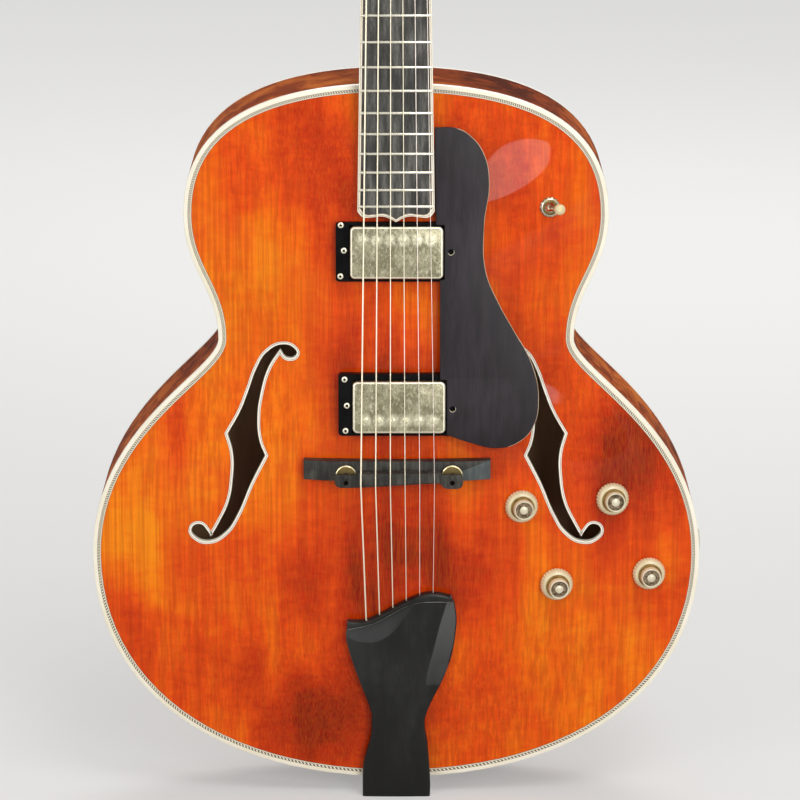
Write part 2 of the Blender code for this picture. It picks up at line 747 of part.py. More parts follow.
def make_neck(seat_cutter):
    board = flat_outline(mirrored(board_side(BOARD_BINDING + GAP)), BOARD_THICKNESS)
    place(board, "fretboard", "ebony", NECK_FRAME @ Matrix.Translation((0, ACTION + BOARD_THICKNESS / 2, 0)))
    frets = []
    for number in range(1, FRET_COUNT + 1):
        along = COMPENSATION + SCALE_LENGTH * 2 ** (-number / 12)
        width = 2 * board_half(along, BOARD_BINDING + 2 * GAP)
        tall = 2 * FRET_HEIGHT
        frets.append(box((width, tall, FRET_WIDTH), (0, ACTION, along)))
    wires = merge_shapes(frets)
    wires.matrix_world = NECK_FRAME
    join(board, wires, "frets")

    outer = board_side(0)
    inner = board_side(BOARD_BINDING)
    ring = [(-x, z) for x, z in reversed(outer)] + outer[1:]
    ring += list(reversed(inner)) + [(-x, z) for x, z in inner[1:]]
    binding = flat_outline(ring, BOARD_THICKNESS)
    place(binding, "fretboard_binding", "cream_binding",
          NECK_FRAME @ Matrix.Translation((0, ACTION + BOARD_THICKNESS / 2, 0)))

    nut_top = STRING_RADII[0] + GAP
    nut_depth = NECK_TOP - GAP - nut_top
    nut = box((BOARD_WIDTH_NUT, nut_depth, NUT_WIDTH - 2 * GAP),
              (0, nut_top + nut_depth / 2, NUT_AT + NUT_WIDTH / 2))
    place(nut, "nut", "bone", NECK_FRAME)

    neck = neck_shaft()
    place(neck, "neck", "mahogany_neck")
    tongue_low = BRIDGE_Z + BOARD_END * cos(NECK_ANGLE) + BOARD_POINT
    tongue_high = BODY_LENGTH + TONGUE_INTO_NECK
    tongue = loft([tongue_ring(tongue_low), tongue_ring(tongue_high)])
    place(tongue, "cut_tongue", None)
    cut(tongue, seat_cutter, "seat")
    join(neck, tongue, "tongue")
    head = flat_outline(mirrored(head_side(0)), HEAD_THICKNESS, range(1, 14))
    place(head, "cut_head", None, HEAD_FRAME @ Matrix.Translation((0, HEAD_THICKNESS / 2, 0)))
    join(neck, head, "head")
    channel_size = (2 * (ROD_RADIUS + ROD_CLEARANCE), 2 * CHANNEL_DEPTH, ROD_LENGTH + 2 * CHANNEL_DEPTH)
    channel = box(channel_size, (0, NECK_TOP, NUT_AT - ROD_LENGTH / 2 - CHANNEL_DEPTH / 2))
    cut(neck, place(channel, "cut_channel", None, NECK_FRAME), "channel")
    for label, frame in post_frames():
        radius = POST_RADIUS + HOLE_CLEARANCE
        tool = hole_tool(radius, -0.03, 0.02, frame, "cut_post_hole_" + label, 10)
        cut(neck, tool, "post_hole_" + label)

    rod = cylinder(ROD_RADIUS, NUT_AT - ROD_LENGTH, NUT_AT, 8)
    rod.data.transform(Matrix.Translation((0, NECK_TOP + ROD_RADIUS + 2 * ROD_CLEARANCE, 0)))
    place(rod, "truss_rod", "steel", NECK_FRAME)

    veneer = flat_outline(mirrored(head_side(VENEER_START)), VENEER_THICKNESS, range(1, 14))
    place(veneer, "headstock_veneer", "ebony",
          HEAD_FRAME @ Matrix.Translation((0, -VENEER_THICKNESS / 2 - GAP, 0)))
    for label, _ in post_frames():
        cut(veneer, bpy.data.objects["cut_post_hole_" + label], "post_hole_" + label)
    cover = [
        (COVER_HALF, COVER_START), (0.85 * COVER_HALF, COVER_START + 0.6 * COVER_LENGTH),
        (0, COVER_START + COVER_LENGTH),
    ]
    plate = flat_outline(mirrored(cover), COVER_THICKNESS, (1, 3))
    lift = VENEER_THICKNESS + COVER_THICKNESS / 2 + 2 * GAP
    place(plate, "truss_rod_cover", "cream_plastic", HEAD_FRAME @ Matrix.Translation((0, -lift, 0)))


def neck_top_y(z):
    """Y of the plane that the fretboard is glued to, at a height z."""
    return -RIM_HALF - STRING_HEIGHT + (z - BRIDGE_Z) * tan(NECK_ANGLE) + NECK_TOP / cos(NECK_ANGLE)


def tongue_ring(z):
    """Section of the tongue that carries the fretboard's end over the body."""
    half = TONGUE_WIDTH / 2
    upper = neck_top_y(z) + GAP
    lower = -RIM_HALF + TONGUE_SINK
    return [(-half, upper, z), (half, upper, z), (half, lower, z), (-half, lower, z)]


def loft(rings):
    """Closed solid through rings of equal count, with flat ends."""
    shape = bpy.data.meshes.new("loft")
    solid = bmesh.new()
    loops = [[solid.verts.new(point) for point in ring] for ring in rings]
    count = len(rings[0])
    for lower, upper in zip(loops, loops[1:]):
        for i in range(count):
            j = (i + 1) % count
            solid.faces.new((lower[i], lower[j], upper[j], upper[i]))
    solid.faces.new(loops[0])
    solid.faces.new(loops[-1])
    bmesh.ops.recalc_face_normals(solid, faces=solid.faces)
    solid.to_mesh(shape)
    solid.free()
    return new_object(shape)


def neck_ring(z, depth, back_half):
    """Round-backed neck section at height z, narrower towards its back where the heel is deep."""
    half = board_half((z - BRIDGE_Z) / cos(NECK_ANGLE))
    top = neck_top_y(z)
    ring = []
    for step in range(NECK_STEPS + 1):
        turn = pi * step / NECK_STEPS
        share = sin(turn) ** 0.75
        width = half + (back_half - half) * share ** 2 if back_half else half
        ring.append((-cos(turn) * width, top + depth * share, z))
    return ring


def neck_shaft():
    """Heel and neck in one loft, from the body's edge to behind the nut."""
    low = BODY_LENGTH + GAP
    high = HEAD_FRAME.translation.z
    deepest = RIM_HALF - HEEL_STOP
    rings = []
    heel_steps = 8
    for step in range(heel_steps + 1):
        share = step / heel_steps
        z = low + HEEL_CAP_LENGTH * min(share * 4, 1) + max(share - 0.25, 0) / 0.75 * (HEEL_LENGTH - HEEL_CAP_LENGTH)
        fall = max(z - low - HEEL_CAP_LENGTH, 0) / (HEEL_LENGTH - HEEL_CAP_LENGTH)
        full = deepest - neck_top_y(z)
        depth = NECK_DEPTH_HEEL + (full - NECK_DEPTH_HEEL) * (1 - fall) ** 3
        back = HEEL_CAP_HALF + (board_half(0.3) - HEEL_CAP_HALF) * fall
        rings.append(neck_ring(z, depth, back))
    for step in range(1, 5):
        share = step / 4
        z = low + HEEL_LENGTH + share * (high - low - HEEL_LENGTH)
        rings.append(neck_ring(z, NECK_DEPTH_HEEL + (NECK_DEPTH_NUT - NECK_DEPTH_HEEL) * share, None))
    return loft(rings)


def head_side(start):
    """Treble half of the headstock outline in its own frame."""
    neck_half = BOARD_WIDTH_NUT / 2
    return [
        (neck_half, start), (neck_half + 0.0015, 0.012), (HEAD_HALF - 0.003, 0.040),
        (HEAD_HALF, 0.056), (HEAD_HALF - 0.002, HEAD_LENGTH * 0.62), (HEAD_HALF - 0.0005, HEAD_LENGTH * 0.88),
        (HEAD_HALF * 0.72, HEAD_LENGTH * 0.975), (0, HEAD_LENGTH),
    ]


def post_frames():
    """Frames of the six string posts: +Z out of the headstock's face."""
    frames = []
    for side, name in ((-1, "bass"), (1, "treble")):
        for index in range(3):
            spot = Matrix.Translation((side * POST_X, 0, POST_FIRST + index * POST_SPACING))
            frames.append((name + "_" + str(index + 1), HEAD_FRAME @ spot @ Matrix.Rotation(pi / 2, 4, "X")))
    return frames


def make_tuners():
    back = -(HEAD_THICKNESS + GAP)
    strap_back = back - STRAP_THICKNESS
    gear_top = strap_back - GAP
    gear_back = gear_top - GEAR_THICKNESS
    worm_level = strap_back - GAP - WORM_RADIUS
    worm_offset = GEAR_RADIUS + WORM_RADIUS + GAP
    for side, name in ((-1, "bass"), (1, "treble")):
        long = 2 * (POST_SPACING + STRAP_PAST_POSTS)
        centre = POST_FIRST + POST_SPACING + worm_offset / 2
        strap = box((STRAP_WIDTH, STRAP_THICKNESS, long), (side * POST_X, -(back + strap_back) / 2, centre))
        place(strap, "tuner_plate_" + name, "nickel", HEAD_FRAME)
        for index in range(3):
            label = name + "_" + str(index + 1)
            frame = dict(post_frames())[label]
            post = turned([
                (0, POST_RISE), (0.8 * POST_RADIUS, POST_RISE), (POST_RADIUS, POST_RISE - 0.001),
                (POST_RADIUS, gear_top), (GEAR_RADIUS, gear_top), (GEAR_RADIUS, gear_back), (0, gear_back),
            ], 10)
            place(post, "tuner_post_" + label, "nickel", frame)
            cut(strap, bpy.data.objects["cut_post_hole_" + label], "post_hole_" + label)
            # the worm lies across the neck, on the side of the gear that is away from the nut
            along = POST_FIRST + index * POST_SPACING + worm_offset
            outwards = Matrix.Translation((side * POST_X, -worm_level, along)) @ Matrix.Rotation(side * pi / 2, 4, "Y")
            key_frame = HEAD_FRAME @ outwards
            half = WORM_LENGTH / 2
            out = KEY_OUT - POST_X
            spindle = turned([
                (0, out), (SPINDLE_RADIUS, out), (SPINDLE_RADIUS, half), (WORM_RADIUS, half),
                (WORM_RADIUS, -half), (SPINDLE_RADIUS, -half), (SPINDLE_RADIUS, -half - 2 * LUG_THICKNESS),
                (0, -half - 2 * LUG_THICKNESS),
            ], 8)
            place(spindle, "tuner_key_" + label, "pearloid_key", key_frame)
            bpy.ops.mesh.primitive_uv_sphere_add(segments=10, ring_count=7, radius=1.0)
            button = bpy.context.object
            button.data.transform(Matrix.Diagonal((KEY_HALF_THICKNESS, KEY_HALF_WIDTH, KEY_HALF_LENGTH, 1)))
            button.data.transform(Matrix.Translation((0, 0, out + 0.8 * KEY_HALF_LENGTH)))
            place(button, "cut_button_" + label, None, key_frame)
            join(spindle, button, "button")
            bore = hole_tool(SPINDLE_RADIUS + SPINDLE_CLEARANCE, -0.02, 0.02, key_frame, "cut_lug_bore_" + label, 8)
            for lug_side in (-1, 1):
                at = lug_side * (half + GAP + LUG_THICKNESS / 2)
                tall = abs(worm_level - strap_back) + LUG_SIZE / 2 + LUG_SINK
                lug = box((LUG_THICKNESS, tall, LUG_SIZE),
                          (side * (POST_X + at), -strap_back + tall / 2 - LUG_SINK, along))
                place(lug, "cut_lug_" + label + ("_in" if lug_side < 0 else "_out"), None, HEAD_FRAME)
                join(strap, lug, lug.name[4:])
            cut(strap, bore, "lug_bore_" + label)


def string_x(index, spread, shift=0.0):
    return (index / (STRING_COUNT - 1) - 0.5) * spread + shift


def tail_points():
    """Outline of the tailpiece in its own frame, anticlockwise from the foot on the treble side."""
    return [
        (0.0256, -TAIL_OVERHANG), (0.0258, 0.001), (0.0238, 0.030), (0.0216, 0.0475), (0.0250, 0.062),
        (0.0400, 0.096), (0.0452, 0.127), (0.0441, 0.143), (0.0415, 0.1523), (0.0243, 0.1548),
        (0.0072, 0.1485), (-0.0125, 0.1372), (-0.0237, 0.1322), (-0.0366, 0.1322), (-0.0372, 0.116),
        (-0.0310, 0.093), (-0.0196, 0.060), (-0.0186, 0.0495), (-0.0195, 0.036), (-0.0249, 0.013),
        (-0.0255, -TAIL_OVERHANG),
    ]


def tail_edge(x):
    """Height of the tailpiece's upper edge at x, in its own frame."""
    edge = sorted((px, pz) for px, pz in tail_points() if pz > 0.13)
    for (x0, z0), (x1, z1) in zip(edge, edge[1:]):
        if x0 <= x <= x1:
            return z0 + (z1 - z0) * (x - x0) / (x1 - x0)
    return edge[-1][1]


def make_tailpiece():
    smooth = [i for i in range(len(tail_points())) if i not in (0, 8, 13, 20)]
    tail = flat_outline(tail_points(), TAIL_THICKNESS, smooth, 3)
    frame = TAIL_FRAME @ Matrix.Translation((0, TAIL_THICKNESS / 2, 0))
    place(tail, "tailpiece", "ebony", frame)
    soften(tail, 0.0012, 1)

    face = -RIM_HALF - BRACKET_THICKNESS + GAP
    inside = -2 * GAP - BRACKET_THICKNESS
    corner = [
        (-BRACKET_REACH, face), (-2 * GAP, face), (-2 * GAP, BRACKET_DROP), (inside, BRACKET_DROP),
        (inside, face + BRACKET_THICKNESS), (-BRACKET_REACH, face + BRACKET_THICKNESS),
    ]
    bracket = flat_outline(corner, BRACKET_WIDTH)
    bracket.data.transform(Matrix(((0, -1, 0, 0), (0, 0, 1, 0), (1, 0, 0, 0), (0, 0, 0, 1))))
    place(bracket, "tail_bracket", "nickel")
    cut(bracket, bpy.data.objects["cut_pin_hole"], "pin_hole")

    under = inside - GAP
    pin = turned([
        (0, PIN_LENGTH), (0.8 * PIN_RADIUS, PIN_LENGTH), (PIN_RADIUS, PIN_LENGTH - PIN_TAPER), (PIN_RADIUS, under),
        (0.75 * PIN_HEAD_RADIUS, under), (PIN_HEAD_RADIUS * 0.65, under - PIN_HEAD_LENGTH / 3),
        (PIN_HEAD_RADIUS, under - 2 * PIN_HEAD_LENGTH / 3), (PIN_HEAD_RADIUS * 0.8, under - PIN_HEAD_LENGTH),
        (0, under - PIN_HEAD_LENGTH),
    ], 14)
    place(pin, "end_pin", "bone")


def make_strings():
    posts = {}
    order = ("bass_1", "bass_2", "bass_3", "treble_3", "treble_2", "treble_1")
    for label, frame in post_frames():
        posts[label] = frame
    for index, (radius, label) in enumerate(zip(STRING_RADII, order)):
        tail_x = string_x(index, STRING_SPREAD_TAIL, STRING_SHIFT_TAIL)
        bridge_x = string_x(index, STRING_SPREAD_BRIDGE, STRING_SHIFT_BRIDGE)
        nut_x = string_x(index, STRING_SPREAD_NUT)
        bridge = NECK_FRAME @ Vector((bridge_x, 0, SADDLE_SHIFT - SADDLE_WIDTH / 2 - 2 * GAP))
        nut = NECK_FRAME @ Vector((nut_x, 0, NUT_AT + NUT_WIDTH))
        tail = TAIL_FRAME @ Vector((tail_x, TAIL_THICKNESS / 2, tail_edge(tail_x)))
        down = (tail - bridge).normalized()
        anchor = tail + down * (STRING_HOLE_DEPTH / 2)
        side = 1 if label.startswith("bass") else -1
        reach = POST_RADIUS + radius + GAP
        post = posts[label] @ Vector((side * reach * cos(0.3), reach * sin(0.3), STRING_ON_POST))
        path = [anchor, tail, bridge, nut, post]
        wire = bpy.data.curves.new("wire", "CURVE")
        wire.dimensions = "3D"
        wire.bevel_depth = radius
        wire.bevel_resolution = 1
        wire.use_fill_caps = True
        spline = wire.splines.new("POLY")
        spline.points.add(len(path) - 1)
        for point, spot in zip(spline.points, path):
            point.co = (*spot, 1)
        string = apply_shape(new_object(wire))
        place(string, "string_" + str(STRING_COUNT - index), "bronze_string")
        aim = down.to_track_quat("Z", "Y").to_matrix().to_4x4()
        tool = hole_tool(STRING_HOLE_RADIUS, -0.004, STRING_HOLE_DEPTH, Matrix.Translation(tail) @ aim,
                         "cut_string_hole_" + str(index), 8)
        cut(bpy.data.objects["tailpiece"], tool, "string_hole_" + str(index))


def make_bridge(seat_cutter):
    half = BRIDGE_LENGTH / 2
    low = -BRIDGE_SINK
    profile = [
        (-half, low), (half, low), (half, BRIDGE_END_TOP), (half - BRIDGE_END_SLOPE, BRIDGE_TOP),
        (-half + BRIDGE_END_SLOPE, BRIDGE_TOP), (-half, BRIDGE_END_TOP),
    ]
    middle = BRIDGE_Z + BRIDGE_Z_SHIFT
    base = flat_outline(profile, BRIDGE_WIDTH)
    base.data.transform(Matrix.Rotation(pi / 2, 4, "X"))
    place(base, "bridge_base", "ebony", Matrix.Translation((BRIDGE_X, -RIM_HALF, middle)))
    cut(base, seat_cutter, "seat")

    string_bottom = STRING_HEIGHT - STRING_RADII[0] - GAP
    saddle_low = string_bottom - SADDLE_HEIGHT
    wheel_high = saddle_low - GAP
    wheel_low = wheel_high - WHEEL_THICKNESS
    out = Matrix.Rotation(pi / 2, 4, "X")
    posts = (("bass", WHEEL_BASS_X), ("treble", WHEEL_TREBLE_X))
    lobes = []
    saddle_z = BRIDGE_Z + SADDLE_SHIFT
    for label, x in posts:
        frame = Matrix.Translation((x, -RIM_HALF, saddle_z)) @ out
        stem = cylinder(
            BRIDGE_POST_RADIUS, BRIDGE_TOP - BRIDGE_POST_FOOT, string_bottom - BRIDGE_POST_BELOW_STRINGS, 10)
        place(stem, "cut_bridge_post_" + label, None, frame)
        join(base, stem, "post_" + label)
        bore = BRIDGE_POST_RADIUS + BRIDGE_POST_CLEARANCE
        wheel = turned([
            (bore, wheel_high), (WHEEL_RADIUS, wheel_high), (WHEEL_RADIUS, wheel_low), (bore, wheel_low),
        ], 18, True)
        place(wheel, "bridge_wheel_" + label, "brass", frame)
        lobe = cylinder(LOBE_RADIUS, saddle_low, string_bottom, 14)
        place(lobe, "cut_lobe_" + label, None, frame)
        lobes.append((lobe, label, frame, bore))
    length = WHEEL_TREBLE_X - WHEEL_BASS_X
    centre = (WHEEL_TREBLE_X + WHEEL_BASS_X) / 2
    height = string_bottom - saddle_low
    saddle = box((length, height, SADDLE_WIDTH), (0, 0, 0))
    place(saddle, "bridge_saddle", "ebony",
          Matrix.Translation((centre, -RIM_HALF - saddle_low - height / 2, saddle_z)))
    for lobe, label, frame, bore in lobes:
        join(saddle, lobe, "lobe_" + label)
        tool = hole_tool(bore, saddle_low - 0.01, string_bottom + 0.01, frame, "cut_saddle_bore_" + label, 10)
        cut(saddle, tool, "bore_" + label)
    # the crown follows the strings, just under the thickest one
    above = box((BRIDGE_LENGTH, 0.02, 0.04), (0, STRING_RADII[0] + GAP - 0.01, 0))
    cut(saddle, place(above, "cut_string_plane", None, NECK_FRAME), "string_plane")


def guard_outline():
    """Outline of the guard in the neck frame, from its top corner beside the fretboard."""
    neck_low = NECK_PICKUP_AT - PICKUP_WIDTH / 2 - GUARD_CLEARANCE
    neck_high = NECK_PICKUP_AT + PICKUP_WIDTH / 2 + GUARD_CLEARANCE
    neck_end = NECK_PICKUP_X + PICKUP_LENGTH / 2 + GUARD_CLEARANCE
    bridge_high = BRIDGE_PICKUP_AT + PICKUP_WIDTH / 2 + GUARD_CLEARANCE
    bridge_end = BRIDGE_PICKUP_X + PICKUP_LENGTH / 2 + GUARD_CLEARANCE
    beside_low = board_half(BOARD_END) + GUARD_CLEARANCE
    beside_high = board_half(GUARD_TOP) + GUARD_CLEARANCE
    curved = [
        (0.0450, 0.2620), (0.0540, 0.2570), (0.0640, 0.2440), (0.0682, 0.2240), (0.0645, 0.1900),
        (0.0659, 0.1570), (0.0762, 0.1319), (0.0858, 0.1148), (0.0998, 0.0890), (0.1050, 0.0640),
        (0.1010, 0.0415), (0.0900, 0.0300), (0.0750, 0.0258), (0.0545, 0.0299),
    ]
    corners = [
        (bridge_end, GUARD_FOOT), (bridge_end, bridge_high), (GUARD_INNER, bridge_high),
        (GUARD_INNER, neck_low), (neck_end, neck_low), (neck_end, neck_high), (beside_low, neck_high),
        (beside_high, GUARD_TOP),
    ]
    return curved, corners


def make_electrics(surface, seat_cutter):
    guard_bottom = GUARD_BELOW_STRINGS + GUARD_THICKNESS
    ring_top = guard_bottom + 2 * GAP
    for label, along, x in pickup_list():
        pickup = rounded_block(PICKUP_LENGTH, PICKUP_WIDTH, PICKUP_HEIGHT, 0.0035)
        place(pickup, "pickup_" + label, "nickel", pickup_frame(along, x, PICKUP_BELOW_STRINGS))
        soften(pickup, 0.0009, 2)
        well = box((PICKUP_LENGTH - 2 * PICKUP_WALL, PICKUP_HEIGHT, PICKUP_WIDTH - 2 * PICKUP_WALL),
                   (0, PICKUP_HEIGHT / 2 + PICKUP_WALL, 0))
        place(well, "cut_pickup_well_" + label, None, pickup_frame(along, x, PICKUP_BELOW_STRINGS))
        cut(pickup, well, "well")
        hole = PICKUP_CLEARANCE
        # the bridge pickup's ring is wider on the neck's side
        upper = RING_STRIP_UPPER if label == "bridge" else RING_STRIP
        ring = rounded_block(
            PICKUP_LENGTH + 2 * (hole + RING_END), PICKUP_WIDTH + 2 * hole + RING_STRIP + upper, RING_SINK, 0.0025)
        centre = along + (upper - RING_STRIP) / 2
        place(ring, "pickup_ring_" + label, "black_plastic", pickup_frame(centre, x, ring_top))
        cut(ring, seat_cutter, "seat")
        tool = box((PICKUP_LENGTH + 2 * hole, 0.12, PICKUP_WIDTH + 2 * hole), (0, 0, 0))
        cut(ring, place(tool, "cut_ring_window_" + label, None, pickup_frame(along, x, ring_top)), "window")

    curved, corners = guard_outline()
    points = curved + corners
    guard = flat_outline(points, GUARD_THICKNESS, range(len(curved)), 3)
    middle = GUARD_BELOW_STRINGS + GUARD_THICKNESS / 2
    place(guard, "pickguard", "guard_wood", NECK_FRAME @ Matrix.Translation((0, middle, 0)))
    frame = NECK_FRAME @ Matrix.Translation((SUPPORT_X, guard_bottom + GAP, SUPPORT_Z))
    support = cylinder(SUPPORT_RADIUS, -SUPPORT_SINK, 0, 12)
    place(support, "pickguard_support", "nickel", frame @ Matrix.Rotation(pi / 2, 4, "X"))
    cut(support, seat_cutter, "seat")

    for label, (x, z) in KNOB_PLACES.items():
        make_knob(label, stand_on(*surface(x, z)))
    make_switch(stand_on(*surface(*SWITCH_PLACE)))
    make_jack()


def make_knob(label, frame):
    bore = SHAFT_RADIUS + SHAFT_CLEARANCE
    can_top = -PLATE_THICKNESS - POT_SEAT
    can_low = can_top - POT_DEPTH
    floor = can_low + POT_FLOOR
    pot = turned([
        (0, floor), (bore, floor), (bore, KNOB_LIFT - 2 * GAP), (BUSHING_RADIUS, KNOB_LIFT - 2 * GAP),
        (BUSHING_RADIUS, can_top), (POT_RADIUS, can_top), (POT_RADIUS, can_low), (0, can_low),
    ], 14)
    place(pot, "pot_" + label, "steel", frame)
    cap_low = 0.55 * KNOB_HEIGHT
    groove = KNOB_CAP_RADIUS - 0.0006
    knob = turned([
        (0, KNOB_HEIGHT), (KNOB_CAP_RADIUS - 0.0008, KNOB_HEIGHT), (KNOB_CAP_RADIUS, KNOB_HEIGHT - 0.0008),
        (KNOB_CAP_RADIUS + 0.0003, cap_low + 0.001), (groove, cap_low - 0.001),
        (KNOB_RADIUS - 0.0032, cap_low - 0.001), (KNOB_RADIUS - 0.0025, cap_low - 0.002),
        (KNOB_RADIUS - 0.001, KNOB_LIFT + 0.003), (KNOB_RADIUS, KNOB_LIFT + 0.001),
        (KNOB_RADIUS, KNOB_LIFT), (SHAFT_RADIUS, KNOB_LIFT), (SHAFT_RADIUS, floor + 0.001), (0, floor + 0.001),
    ], 16)
    place(knob, "knob_" + label, "cream_plastic", frame)


def make_switch(frame):
    top = SWITCH_NUT_HEIGHT
    can_top = -PLATE_THICKNESS - POT_SEAT
    can_low = can_top - SWITCH_DEPTH
    nut_low = 2 * GAP
    body = turned([
        (0, -SWITCH_WELL), (SWITCH_BORE, -SWITCH_WELL), (SWITCH_BORE, top), (SWITCH_NUT_RADIUS - 0.0015, top),
        (SWITCH_NUT_RADIUS, top - 0.001), (SWITCH_NUT_RADIUS, nut_low), (SWITCH_BUSHING, nut_low),
        (SWITCH_BUSHING, can_top), (SWITCH_CASE_RADIUS, can_top), (SWITCH_CASE_RADIUS, can_low), (0, can_low),
    ], 14)
    place(body, "switch_body", "nickel", frame)
    tip = LEVER_LENGTH - TIP_RADIUS
    lever = turned([
        (0, LEVER_LENGTH), (0.6 * TIP_RADIUS, tip + 0.8 * TIP_RADIUS), (TIP_RADIUS, tip),
        (0.75 * TIP_RADIUS, tip - 0.75 * TIP_RADIUS), (LEVER_RADIUS + 0.0005, tip - 1.3 * TIP_RADIUS),
        (LEVER_RADIUS, tip - 1.5 * TIP_RADIUS), (LEVER_RADIUS, 0.75 * LEVER_BALL),
        (LEVER_BALL, LEVER_BALL / 3), (LEVER_BALL, -LEVER_BALL / 3), (LEVER_BALL / 2, -LEVER_BALL), (0, -LEVER_BALL),
    ], 12)
    tilt = Matrix.Rotation(SWITCH_THROW, 4, "Y")
    place(lever, "switch_lever", "cream_plastic", frame @ Matrix.Translation((0, 0, -LEVER_PIVOT)) @ tilt)


def make_jack():
    jack_low = -JACK_DEPTH
    face = JACK_PLATE
    wall = -LINING_WIDTH - GAP
    jack = turned([
        (0, jack_low + JACK_FLOOR), (JACK_BORE, jack_low + JACK_FLOOR), (JACK_BORE, face), (JACK_FLANGE - 0.001, face),
        (JACK_FLANGE, face - 0.001), (JACK_FLANGE, 2 * GAP), (JACK_BARREL, 2 * GAP), (JACK_BARREL, wall),
        (JACK_FLANGE, wall), (JACK_FLANGE, jack_low), (0, jack_low),
    ], 16)
    frame = Matrix.Translation((LOWER_HALF, 0, LOWER_Z)) @ Matrix.Rotation(pi / 2, 4, "Y")
    place(jack, "output_jack", "nickel", frame)


def build():
    global parts, cutters
    clear_scene()
    parts = bpy.data.collections.new("hollow_body_guitar")
    cutters = bpy.data.collections.new("cutters")
    for group in (parts, cutters):
        bpy.context.scene.collection.children.link(group)
    make_materials()
    surface = top_surface()
    seat_cutter = place(clearance_cutter(GAP, 0.06), "cut_seat", None)
    make_body(surface)
    make_neck(seat_cutter)
    make_tuners()
    make_bridge(seat_cutter)
    make_tailpiece()
    make_strings()
    make_electrics(surface, seat_cutter)


build()
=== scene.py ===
import json
from contextlib import contextmanager
from math import cos, pi, radians, sin, tan

import bpy
from mathutils import Matrix, Vector
from mathutils.bvhtree import BVHTree
from mathutils.geometry import interpolate_bezier


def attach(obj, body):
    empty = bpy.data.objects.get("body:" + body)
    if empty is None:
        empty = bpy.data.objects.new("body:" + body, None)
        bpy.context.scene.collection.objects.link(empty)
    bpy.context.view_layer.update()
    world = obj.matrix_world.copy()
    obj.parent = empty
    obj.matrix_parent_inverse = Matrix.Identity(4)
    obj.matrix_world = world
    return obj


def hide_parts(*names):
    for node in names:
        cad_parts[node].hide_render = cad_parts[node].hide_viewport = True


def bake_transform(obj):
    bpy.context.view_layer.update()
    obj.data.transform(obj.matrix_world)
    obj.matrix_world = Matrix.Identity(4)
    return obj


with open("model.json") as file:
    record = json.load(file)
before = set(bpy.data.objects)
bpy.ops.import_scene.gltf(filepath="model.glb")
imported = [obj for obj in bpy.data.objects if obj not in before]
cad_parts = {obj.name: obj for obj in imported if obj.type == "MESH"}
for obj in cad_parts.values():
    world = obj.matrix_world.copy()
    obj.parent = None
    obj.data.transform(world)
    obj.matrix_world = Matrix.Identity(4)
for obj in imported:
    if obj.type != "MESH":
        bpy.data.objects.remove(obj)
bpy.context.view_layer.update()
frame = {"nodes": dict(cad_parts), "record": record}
joints = {joint["name"]: joint for joint in frame["record"]["behaviour"]["joints"]}
gap = 0.0003
weld = 0.000002
print("model loaded")

# The body's outline and arches, in metres: +Z up the neck, -Y the front, +X the treble side
body = {
    "lowerHalf": 0.2279, "lowerZ": 0.1759, "waistHalf": 0.1318, "waistZ": 0.3426,
    "upperHalf": 0.1567, "upperZ": 0.4366, "length": 0.534,
    "tailPull": 0.1416, "lowerDown": 0.1024, "lowerUp": 0.0994, "waistDown": 0.0254,
    "waistUp": 0.0387, "upperDown": 0.0418, "upperUp": 0.0693, "neckPull": 0.0959,
    "half": 0.042, "plate": 0.005, "side": 0.0026, "ledge": 0.009, "arch": 0.020,
    "ridgeLow": 0.150, "ridgeHigh": 0.440, "ridgeTop": 0.235, "ridgeFall": 0.42, "sharpness": 0.72,
    "steps": 24, "rings": 36,
}
# The neck frame's origin is on the strings over the bridge, its Z runs along the strings
neck = {
    "angle": radians(5), "bridgeZ": 0.243184, "stringHeight": 0.044, "scale": 0.6477, "compensation": 0.001,
    "action": 0.0032, "boardThickness": 0.0065, "boardNut": 0.0435, "boardEnd": 0.0566, "boardFrom": 0.199513,
    "boardPoint": 0.006, "binding": 0.0022, "frets": 20, "fretRadius": 0.0011, "nutWidth": 0.005,
    "headAngle": radians(14), "headThickness": 0.0135, "headHalf": 0.0375, "headLength": 0.182, "veneer": 0.002,
    "tongue": (0.040, 0.030, 0.120), "tongueFrom": 0.003, "postHole": 0.0036,
}
neck["nutAt"] = neck["scale"] + neck["compensation"]
neck["top"] = neck["action"] + neck["boardThickness"] + gap
neckFrame = Matrix.Translation((0, -body["half"] - neck["stringHeight"], neck["bridgeZ"]))
neckFrame = neckFrame @ Matrix.Rotation(-neck["angle"], 4, "X")
headFrame = neckFrame @ Matrix.Translation((0, neck["top"], neck["nutAt"] + neck["nutWidth"]))
headFrame = headFrame @ Matrix.Rotation(-neck["headAngle"], 4, "X")
tail = {"rise": 0.012, "slope": radians(6.7), "thickness": 0.0068}
tailFrame = Matrix.Translation((0, -body["half"] - tail["rise"], 0)) @ Matrix.Rotation(tail["slope"], 4, "X")

materials = {}


# Small modelling steps that every piece uses

def clearSelection():
    if bpy.context.mode != "OBJECT":
        bpy.ops.object.mode_set(mode="OBJECT")
    bpy.ops.object.select_all(action="DESELECT")


def pick(piece):
    clearSelection()
    piece.select_set(True)
    bpy.context.view_layer.objects.active = piece


@contextmanager
def editing(piece, selected="SELECT"):
    # edit mode on one piece, with all of it selected, nothing of it, or what was selected before
    pick(piece)
    bpy.ops.object.mode_set(mode="EDIT")
    if selected:
        bpy.ops.mesh.select_all(action=selected)
    yield
    bpy.ops.object.mode_set(mode="OBJECT")


def settle():
    # the active object's place, turn and size go into its mesh
    bpy.ops.object.transform_apply(location=True, rotation=True, scale=True)
    return bpy.context.object


def discard(piece):
    bpy.data.objects.remove(piece, do_unlink=True)


